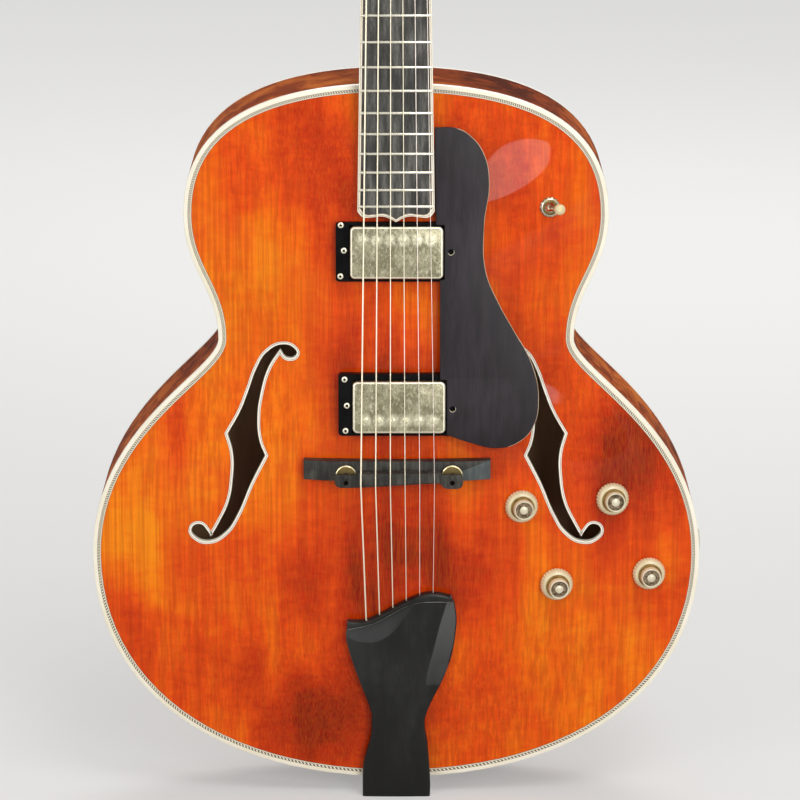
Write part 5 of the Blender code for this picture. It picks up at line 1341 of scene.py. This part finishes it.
def makeBridge():
    base = cadCopy("bridge_base", 0.0005, 3, 35)
    finish(base, "bridge_foot", "footEbony", replaced=("bridge_base",))
    stringBottom = neck["stringHeight"] - strings["radii"][0] - gap
    low = stringBottom - bridge["saddleHeight"]
    top, r = low - gap, bridge["wheel"]
    under = top - bridge["wheelThickness"]
    bore = bridge["post"] + bridge["clearance"]
    z = neck["bridgeZ"] + bridge["saddleShift"]
    upright = {label: Matrix.Translation((x, -body["half"], z)) @ Matrix.Rotation(pi / 2, 4, "X")
               for label, x in wheelsAt.items()}
    posts = []
    for label, x in wheelsAt.items():
        rings = [(bore, top), (r * 0.9, top), (r, top - 0.0004), (r, under + 0.0004), (r * 0.9, under),
                 (bore, under)]
        wheel = milled(ringPiece(rings, bridge["milling"]), r * 0.97, bridge["milling"], 0.965)
        moveTo(wheel, upright[label])
        node = "bridge_wheel_" + label
        finish(wheel, "wheel_" + label, "brassWheel", node, (node,), 30)
        # the wheel's rim is painted bright brass, a painted highlight all round its edge, over the darker brass
        # of its faces
        secondLook(wheel, "brassRimHighlight", lambda face: (face.center.xz - Vector((x, z))).length > r * 0.88)
        # the post ends in a thin stub inside the saddle, so the saddle can sink
        seat = low - bridge["postBelow"]
        post = turnedPiece([(bridge["post"], bridge["top"] - 0.001), (bridge["post"], seat),
                            (bridge["stub"], seat), (bridge["stub"], low + bridge["stubInto"])], 24)
        posts.append(moveTo(post, upright[label]))
    finish(joinPieces(posts), "bridge_posts", "brassWheel")
    foot = drawnPlate(saddleFoot, (*range(6, 10), *range(12, 20)), bridge["footHeight"], 0.0004, 6)
    moveTo(foot, Matrix.Translation((0, -body["half"] - low - bridge["footHeight"] / 2, z)))
    crest = drawnPlate(saddleCrest, (3, 4, 5, 6), bridge["saddleHeight"], 0.0004, 6)
    moveTo(crest, Matrix.Translation((0, -body["half"] - low - bridge["saddleHeight"] / 2, z)))
    above = blockPiece((0.2, 0.02, 0.06), (0, strings["radii"][0] + gap - 0.01, bridge["saddleShift"]))
    cutAway(crest, moveTo(above, neckFrame))
    change(foot, "BOOLEAN", operation="UNION", object=crest, solver="MANIFOLD")
    discard(crest)
    for place in upright.values():
        # a blind bore that shows in front, and a hidden one for the post's stub
        tool = turnedPiece([(bridge["bore"], low + bridge["floor"]), (bridge["bore"], stringBottom + 0.01)], 32)
        cutAway(foot, moveTo(tool, Matrix.Translation((0, 0, -bridge["boreShift"])) @ place))
        bore = bridge["stubBore"]
        tool = turnedPiece([(bore, low - 0.01), (bore, low + bridge["stubInto"] + 0.0017)], 32)
        cutAway(foot, moveTo(tool, place))
    finish(foot, "saddle", "bridgeEbony", "bridge_saddle", ("bridge_saddle",))

    # the front bores' walls and floor are painted near-black, painted shade inside the holes
    def inBore(face):
        reach = min((face.center.xz - Vector((x, z - bridge["boreShift"]))).length for x in wheelsAt.values())
        above = -face.center.y - body["half"] - low
        return reach < bridge["bore"] + 0.0001 and 0.0005 < above < bridge["footHeight"] - 0.0005

    secondLook(foot, "paintedHoleShade", inBore)


tailShape = [
    (0.0256, -0.016), (0.0258, 0.001), (0.0238, 0.030), (0.0216, 0.0475), (0.0250, 0.062),
    (0.0400, 0.096), (0.0452, 0.127), (0.0441, 0.143), (0.0415, 0.1523), (0.0243, 0.1548),
    (0.0072, 0.1485), (-0.0125, 0.1372), (-0.0237, 0.1322), (-0.0366, 0.1322), (-0.0372, 0.116),
    (-0.0310, 0.093), (-0.0196, 0.060), (-0.0186, 0.0495), (-0.0195, 0.036), (-0.0249, 0.013),
    (-0.0255, -0.016),
]


def tailEdge(x):
    edge = sorted((px, pz) for px, pz in tailShape if pz > 0.13)
    for (x0, z0), (x1, z1) in zip(edge, edge[1:]):
        if x0 <= x <= x1:
            return z0 + (z1 - z0) * (x - x0) / (x1 - x0)
    return edge[-1][1]


def smoothChain(points, count):
    # points spread evenly along a soft line through the given ones
    curve = []
    for index in range(len(points) - 1):
        before = points[max(index - 1, 0)]
        after = points[min(index + 2, len(points) - 1)]
        a, b = Vector(points[index]), Vector(points[index + 1])
        pullA = (b - Vector(before)) / 6
        pullB = (Vector(after) - a) / 6
        curve += [Vector(p[:2]) for p in interpolate_bezier(a, a + pullA, b - pullB, b, 9)[:-1]]
    curve.append(Vector(points[-1]))
    lengths = [0.0]
    for a, b in zip(curve, curve[1:]):
        lengths.append(lengths[-1] + (b - a).length)
    even = []
    for step in range(count + 1):
        want = lengths[-1] * step / count
        index = max(i for i, length in enumerate(lengths) if length <= want + 1e-12)
        index = min(index, len(curve) - 2)
        part = (want - lengths[index]) / max(lengths[index + 1] - lengths[index], 1e-9)
        even.append(curve[index].lerp(curve[index + 1], min(part, 1)))
    return even


tailLip = [(-0.0368, 0.1262), (-0.0225, 0.1294), (-0.0121, 0.1335), (-0.0016, 0.1400), (0.0089, 0.1457),
           (0.0178, 0.1482), (0.0300, 0.1488), (0.0425, 0.1486)]
# the scoop's lower edge as (x, z), the facet's left edge as (z, x)
tailScoop = [(-0.0380, 0.1200), (-0.0346, 0.1180), (-0.0271, 0.1155), (-0.0151, 0.1155), (-0.0031, 0.1229),
             (0.0059, 0.1343), (0.0130, 0.1440), (0.0190, 0.1500), (0.0430, 0.1560)]
tailFacet = [(0.0800, 0.0222), (0.0851, 0.0225), (0.0933, 0.0239), (0.1114, 0.0284), (0.1303, 0.0328),
             (0.1457, 0.0372), (0.1560, 0.0400)]
tailRelief = {"scoop": 0.0040, "scoopReach": 0.0165, "facet": 0.0048, "lip": 0.0010, "round": 0.0013,
              "crown": 0.0006, "lineRadius": 0.00022}


def lineAt(line, along):
    # where a line of points that runs to the right lies at a place along it
    for a, b in zip(line, line[1:]):
        if along <= b.x:
            return a.y + (b.y - a.y) * max(along - a.x, 0) / (b.x - a.x)
    return line[-1].y


def makeTailpiece():
    # the face runs from the foot to the lip under the slanting upper edge, then over the lip
    rows, lipRows, columns = 96, 9, 64
    right = smoothChain(tailShape[:8] + tailLip[-1:], rows)
    left = smoothChain(list(reversed(tailShape[14:])) + tailLip[:1], rows)
    lip = smoothChain(tailLip, columns)
    crest = smoothChain(list(reversed(tailShape[8:14])), columns)
    scoopLow, facetFrom = smoothChain(tailScoop, 40), smoothChain(tailFacet, 30)
    rightEdge = sorted((Vector((p.y, p.x)) for p in right), key=lambda p: p.x)

    def inScoop(x, z):
        # how far a place lies above the scoop's lower edge
        return z - min(lineAt(scoopLow, x), lineAt(lip, x) + 0.0004)

    def inFacet(x, z):
        # and how far to the right of the facet's left edge
        return min(x - lineAt(facetFrom, z), (z - tailFacet[0][0]) * 0.5)

    def relief(u, x, z):
        # how far the face lies below the upper plane
        r = tailRelief
        depth = r["round"] * max(1 - min(u, 1 - u) / 0.03, 0) ** 2 + r["crown"] * (2 * u - 1) ** 2
        depth += r["scoop"] * max(inScoop(x, z), 0) / r["scoopReach"]
        start = lineAt(facetFrom, z)
        fade = min(max((z - tailFacet[0][0]) / 0.016, 0), 1)
        return depth + r["facet"] * max(x - start, 0) / max(lineAt(rightEdge, z) - start, 0.002) * fade

    def spot(u, v):
        row = round(v * (rows + 1 + lipRows))
        column = round(u * columns)
        if row <= rows:
            share = row / rows
            flat = left[row].lerp(right[row], u) + (lip[column] - left[rows].lerp(right[rows], u)) * share ** 3
            depth = tailRelief["lip"] + relief(u, flat.x, flat.y)
        else:
            share = (row - rows - 1) / lipRows
            flat = lip[column].lerp(crest[column], max(share, 0.04))
            depth = tailRelief["round"] * (max(share - 0.7, 0) / 0.3) ** 2 + 0.0006 * max(0.2 - share, 0) / 0.2
            depth += tailRelief["round"] * max(1 - min(u, 1 - u) / 0.02, 0) ** 2
        return Vector((flat.x, depth, flat.y))

    face = faceFront(gridPiece(columns, rows + 1 + lipRows, spot))
    with editing(face):
        bpy.ops.mesh.extrude_region_move(TRANSFORM_OT_translate={"value": (0, tail["thickness"], 0)})
        bpy.ops.transform.resize(value=(1, 0, 1), center_override=(0, tail["thickness"], 0))
        bpy.ops.mesh.select_all(action="SELECT")
        bpy.ops.mesh.normals_make_consistent(inside=False)
    # the scoop and the facet get a painted sheen, lighter in the material: how far in each point lies, in mm
    paintedSheen = face.data.attributes.new("paintedSheenDepth", "FLOAT", "POINT")
    for vert in face.data.vertices:
        x, depth, z = vert.co
        onLip = z > lineAt(lip, x) - 0.0001 and depth < 0.0017
        onBack = depth > tail["thickness"] - 0.0005
        inside = -1.0 if onLip or onBack else max(inScoop(x, z), inFacet(x, z)) * 1000
        paintedSheen.data[vert.index].value = inside
    moveTo(face, tailFrame)
    finish(face, "tail_wood", "tailEbony", replaced=("tailpiece",), smooth=28)
    points = [Vector((p.x, tailRelief["lip"] * 0.55, p.y - 0.0002)) for p in lip[1:-2]]
    line = moveTo(wireThrough(points, tailRelief["lineRadius"]), tailFrame)
    finish(line, "tail_line", "lipLine", smooth=60)
    bracket = cadCopy("tail_bracket", 0.0004)
    finish(bracket, "tail_clasp", "brightNickel", replaced=("tail_bracket",))
    # the strap pin: its head's radius and length, and where the head starts
    r, h, under = 0.0085, 0.009, -0.0029
    pin = turnedPiece([
        (0.0032, 0.026), (0.004, 0.020), (0.004, under), (0.0062, under), (0.0056, under - 0.0020),
        (0.0055, under - h * 0.35), (0.0068, under - h * 0.5), (r, under - h * 0.66),
        (r * 0.98, under - h * 0.8),
        (r * 0.85, under - h * 0.95), (r * 0.5, under - h),
    ], 48)
    finish(pin, "strap_pin", "boneWhite", replaced=("end_pin",), smooth=40)


def makeStrings():
    order = ((-1, 0), (-1, 1), (-1, 2), (1, 2), (1, 1), (1, 0))
    for index, (radius, (side, post)) in enumerate(zip(strings["radii"], order)):
        tailX = stringX(index, strings["tail"], strings["shiftTail"])
        over = neckFrame @ Vector((stringX(index, strings["bridge"], strings["shiftBridge"]), 0,
                                   bridge["saddleShift"] - bridge["saddleWidth"] / 2 - 2 * gap))
        nut = neckFrame @ Vector((stringX(index, strings["nut"]), 0, neck["nutAt"] + neck["nutWidth"]))
        start = tailFrame @ Vector((tailX, tail["thickness"] / 2, tailEdge(tailX)))
        anchor = start + (start - over).normalized() * strings["inWood"]
        reach = tuner["postRadius"] + radius + gap
        turn = 1 if side < 0 else -1
        leaves = strings["leaves"]
        end = Vector((turn * reach * cos(leaves), reach * sin(leaves), strings["onPost"]))
        end = postFrame(side, post) @ end
        crown = over + (nut - over).normalized() * strings["crown"]
        wire = wireThrough([crown, nut, end], radius, 3)
        behind = wireThrough([anchor, start, over, crown], radius, 3)
        wraps = []
        for level in range(strings["wraps"]):  # the turns round the post
            clearSelection()
            bpy.ops.mesh.primitive_torus_add(major_radius=tuner["postRadius"] + radius, minor_radius=radius,
                                             major_segments=28, minor_segments=8)
            lift = Matrix.Translation((0, 0, strings["onPost"] - level * 2 * radius))
            tilted = Matrix.Rotation(strings["wrapTilt"], 4, "X")
            wraps.append(moveTo(bpy.context.object, postFrame(side, post) @ lift @ tilted))
        look = "woundString" if index < 4 else "plainString"
        number = str(6 - index)
        name = "wire_" + number
        ahead = finish(joinPieces([wire] + wraps), name, look, None, ("string_" + number,), 50)
        finish(behind, name + "_tail", look, None, (), 50)
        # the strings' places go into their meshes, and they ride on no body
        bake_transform(ahead)
        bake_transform(behind)


# Controls

knob = {"radius": 0.0124, "cap": 0.0074, "height": 0.0165, "lift": 0.0018, "flutes": 30}


def knobPieces():
    r, cap, low, high = knob["radius"], knob["cap"], knob["lift"], knob["height"]
    step = low + 0.0062
    sides = knob["flutes"] * 4
    skirt = turnedPiece([
        (cap * 0.9, low + 0.0004), (r * 0.97, low), (r, low + 0.0004), (r, low + 0.0022),
        (r * 0.985, low + 0.0030),
        (r * 0.90, step - 0.0009), (r * 0.84, step - 0.0003), (r * 0.80, step), (cap * 1.14, step + 0.0001),
    ], sides)
    for vert in skirt.data.vertices:
        flat = Vector((vert.co.x, vert.co.y))
        if flat.length > r * 0.86:
            turn = flat.angle_signed(Vector((1, 0)))
            share = min((flat.length - r * 0.86) / (r * 0.1), 1)
            keep = 1 - 0.055 * share * (0.5 + 0.5 * cos(turn * knob["flutes"])) ** 2
            vert.co.x *= keep
            vert.co.y *= keep
    groove = turnedPiece([(cap * 1.20, step - 0.0008), (cap * 1.20, step + 0.0007), (cap * 1.06, step + 0.0012),
                          (cap * 0.97, step + 0.0024), (cap * 0.97, step + 0.0036)], 64)
    cup = turnedPiece([
        (cap * 0.93, step + 0.0020), (cap * 1.02, step + 0.0032), (cap * 1.04, step + 0.0040),
        (cap * 0.99, high - 0.0012), (cap * 0.96, high - 0.0003), (cap * 0.91, high),
        (cap * 0.86, high - 0.0003), (cap * 0.83, high - 0.0014), (cap * 0.2, high - 0.0015),
    ], 64)
    disc = turnedPiece([
        (cap * 0.82, high - 0.0018), (cap * 0.82, high - 0.0011), (cap * 0.74, high - 0.0008),
        (cap * 0.66, high - 0.0013), (cap * 0.46, high - 0.0013), (cap * 0.42, high - 0.0008),
        (cap * 0.34, high - 0.0004), (cap * 0.22, high - 0.0001), (cap * 0.08, high),
    ], 48)
    return (("skirt", skirt, "knobCream"), ("groove", groove, "knobGroove"), ("cup", cup, "knobCream"),
            ("disc", disc, "knobDisc"))


def makeKnobs():
    pieces = knobPieces()
    for label in ("neck_volume", "neck_tone", "bridge_volume", "bridge_tone"):
        joint = joints[label + "_turn"]
        place = standing(joint["pos_m"], Vector(joint["axis"]).normalized())
        for part, shape, look in pieces:
            made = twin(shape, place @ Matrix.Rotation(0.3, 4, "Z"))
            replaced = ("knob_" + label,) if part == "skirt" else ()
            finish(made, "knob_" + label + "_" + part, look, "knob_" + label, replaced, 30)
            back = place.inverted()
            # the cup's lip and the disc's dome are painted lighter, painted highlights
            if part == "cup":  # its lip and the dome in the middle are lighter
                secondLook(made, "knobLipHighlight", lambda face: (back @ face.center).z > knob["height"] - 0.0016)
            if part == "disc":
                secondLook(made, "knobDomeHighlight", lambda face: (back @ face.center).xy.length < 0.43 * knob["cap"])
    for _, shape, _ in pieces:
        discard(shape)


# Where the switch stands, and which way its lever points at rest
switch = {"x": 0.1129, "z": 0.4432, "leverOut": (0.414236, -0.908699, 0.051722), "milling": 72}


def makeSwitch(surface):
    nut = ringPiece([(0.0036, 0.0004), (0.0036, 0.0030), (0.0046, 0.0034), (0.0058, 0.0032), (0.0060, 0.0026),
                     (0.0070, 0.0024), (0.0074, 0.0019), (0.0074, 0.0006), (0.0070, 0.0004)], switch["milling"])
    milled(nut, 0.0072, switch["milling"], 0.97)
    moveTo(nut, standing(*surface(switch["x"], switch["z"])))
    finish(nut, "switch_nut", "brassWheel", smooth=30)
    case = cadCopy("switch_body")
    finish(case, "switch_case", "brightNickel", replaced=("switch_body",))
    joint = joints["pickup_select"]
    out = Vector(switch["leverOut"]).normalized()
    across = Vector(joint["axis"]).normalized()
    turn = Matrix((across.cross(out).normalized(), across, out)).transposed().to_4x4()
    stand = Matrix.Translation(joint["pos_m"]) @ turn
    shaft = turnedPiece([(0.0012, -0.0024), (0.0024, -0.0008), (0.0024, 0.0008), (0.0015, 0.0018),
                         (0.0015, 0.0150)], 24)
    finish(moveTo(shaft, stand), "switch_shaft", "brightNickel", "switch_lever", (), 40)
    tip = turnedPiece([(0.0016, 0.0100), (0.0021, 0.0106), (0.0030, 0.0130), (0.0038, 0.0152), (0.0041, 0.0170),
                       (0.0039, 0.0184), (0.0031, 0.0196), (0.0018, 0.0203), (0.0006, 0.0205)], 40)
    finish(moveTo(tip, stand), "switch_tip", "tipCream", "switch_lever", ("switch_lever",), 60)


def makeJack():
    socket = cadCopy("output_jack", 0.0003, 2, 40)
    finish(socket, "jack_socket", "brightNickel", replaced=("output_jack",), smooth=40)


def dressHidden():
    # solids whose CAD shape is right keep it and take a finish
    looks = {
        "bareSpruce": ("tail_block", "neck_block", "tone_bar_bass", "tone_bar_treble"),
        "plainSteel": ("truss_rod", "pot_neck_volume", "pot_neck_tone", "pot_bridge_volume", "pot_bridge_tone"),
    }
    for look, nodes in looks.items():
        for node in nodes:
            data = frame["nodes"][node].data
            data.materials.clear()
            data.materials.append(materials[look])


# Floor, light and camera

studio = {"floor": (0.46, 0.455, 0.445), "wall": (0.86, 0.86, 0.855), "floorZ": -0.0125, "glowNear": 0.36,
          "glowFar": 0.60, "soft": 0.40}
# The camera's tilt, what it looks at, how far off it stands, and its lens in mm
view = {"tilt": radians(14), "target": (0.0029, -0.042, 0.296), "distance": 3.0, "lens": 181.35}


def seenRays(tree):
    # 1 for the rays that show the background: straight from the camera, or by a mirror or glass
    path = addNode(tree, "LightPath")
    seen = maths(tree, "MAXIMUM", path.outputs["Is Camera Ray"], path.outputs["Is Glossy Ray"])
    return maths(tree, "MAXIMUM", seen, path.outputs["Is Transmission Ray"])


def makeStage():
    clearSelection()
    bpy.ops.mesh.primitive_plane_add(size=9, location=(0, 0.5, studio["floorZ"]))
    floor = settle()
    floor.name = "floor"
    look = bpy.data.materials.new("paleFloor")
    look.use_nodes = True
    tree = look.node_tree
    shader = tree.nodes["Principled BSDF"]
    shader.inputs["Base Color"].default_value = (*studio["floor"], 1)
    shader.inputs["Roughness"].default_value = 0.9
    shader.inputs["Specular IOR Level"].default_value = 0.0
    shader.inputs["Emission Color"].default_value = (*studio["wall"], 1)
    spot = addNode(tree, "TexCoord").outputs["Object"]
    away = addNode(tree, "VectorMath", {0: spot}, operation="LENGTH").outputs[1]
    glow = spread(tree, away, 0.4, 4.2, studio["glowNear"], studio["glowFar"])
    plug(tree, maths(tree, "MULTIPLY", glow, seenRays(tree)), shader, "Emission Strength")
    floor.data.materials.append(look)
    world = bpy.data.worlds.new("studio")
    world.use_nodes = True
    bpy.context.scene.world = world
    tree = world.node_tree
    soft = tree.nodes["Background"]
    soft.inputs[0].default_value = (1.0, 0.99, 0.97, 1)
    soft.inputs[1].default_value = studio["soft"]
    plain = addNode(tree, "Background", {0: (*studio["wall"], 1), 1: 1.0})
    mixed = addNode(tree, "MixShader", {0: seenRays(tree), 1: soft.outputs[0], 2: plain.outputs[0]})
    tree.links.new(mixed.outputs[0], tree.nodes["World Output"].inputs[0])


def addLamp(name, place, aim, size, power, colour=(1, 1, 1)):
    clearSelection()
    bpy.ops.object.light_add(type="AREA", location=place)
    lamp = bpy.context.object
    lamp.name = name
    lamp.data.shape = "RECTANGLE"
    lamp.data.size, lamp.data.size_y = size
    lamp.data.energy = power
    lamp.data.color = colour
    lamp.rotation_euler = (Vector(aim) - Vector(place)).to_track_quat("-Z", "Y").to_euler()


def makeLightAndCamera():
    addLamp("keyLamp", (1.05, -2.75, 1.05), (0, 0, 0.35), (1.1, 1.3), 34)
    addLamp("topLamp", (0.9, -1.6, 3.0), (0, 0, 0.3), (1.4, 1.4), 30)
    addLamp("fillLamp", (-2.0, -2.4, 1.2), (0, 0, 0.3), (1.6, 1.6), 26)
    addLamp("backLamp", (0.3, 2.2, 2.2), (0, 0, 0.4), (1.6, 1.2), 40)
    tilt = view["tilt"]
    away = Vector((0, -cos(tilt), sin(tilt))) * view["distance"]
    clearSelection()
    bpy.ops.object.camera_add(location=Vector(view["target"]) + away, rotation=(pi / 2 - tilt, 0, 0))
    camera = bpy.context.object
    camera.data.sensor_width = 36
    camera.data.lens = view["lens"]
    camera.data.clip_end = 60
    bpy.context.scene.camera = camera
    bpy.context.scene.view_settings.view_transform = "Standard"


makeMaterials()
print("materials made")
surface = surfaceFinder()
makeSoundBox(surface)
print("sound box made")
makePickups()
makeGuard()
print("pickups and guard made")
makeFretboard()
makeNeck()
makeTuners()
print("neck made")
makeBridge()
makeTailpiece()
makeStrings()
print("bridge, tailpiece and strings made")
makeKnobs()
makeSwitch(surface)
makeJack()
dressHidden()
print("controls made")
makeStage()
makeLightAndCamera()
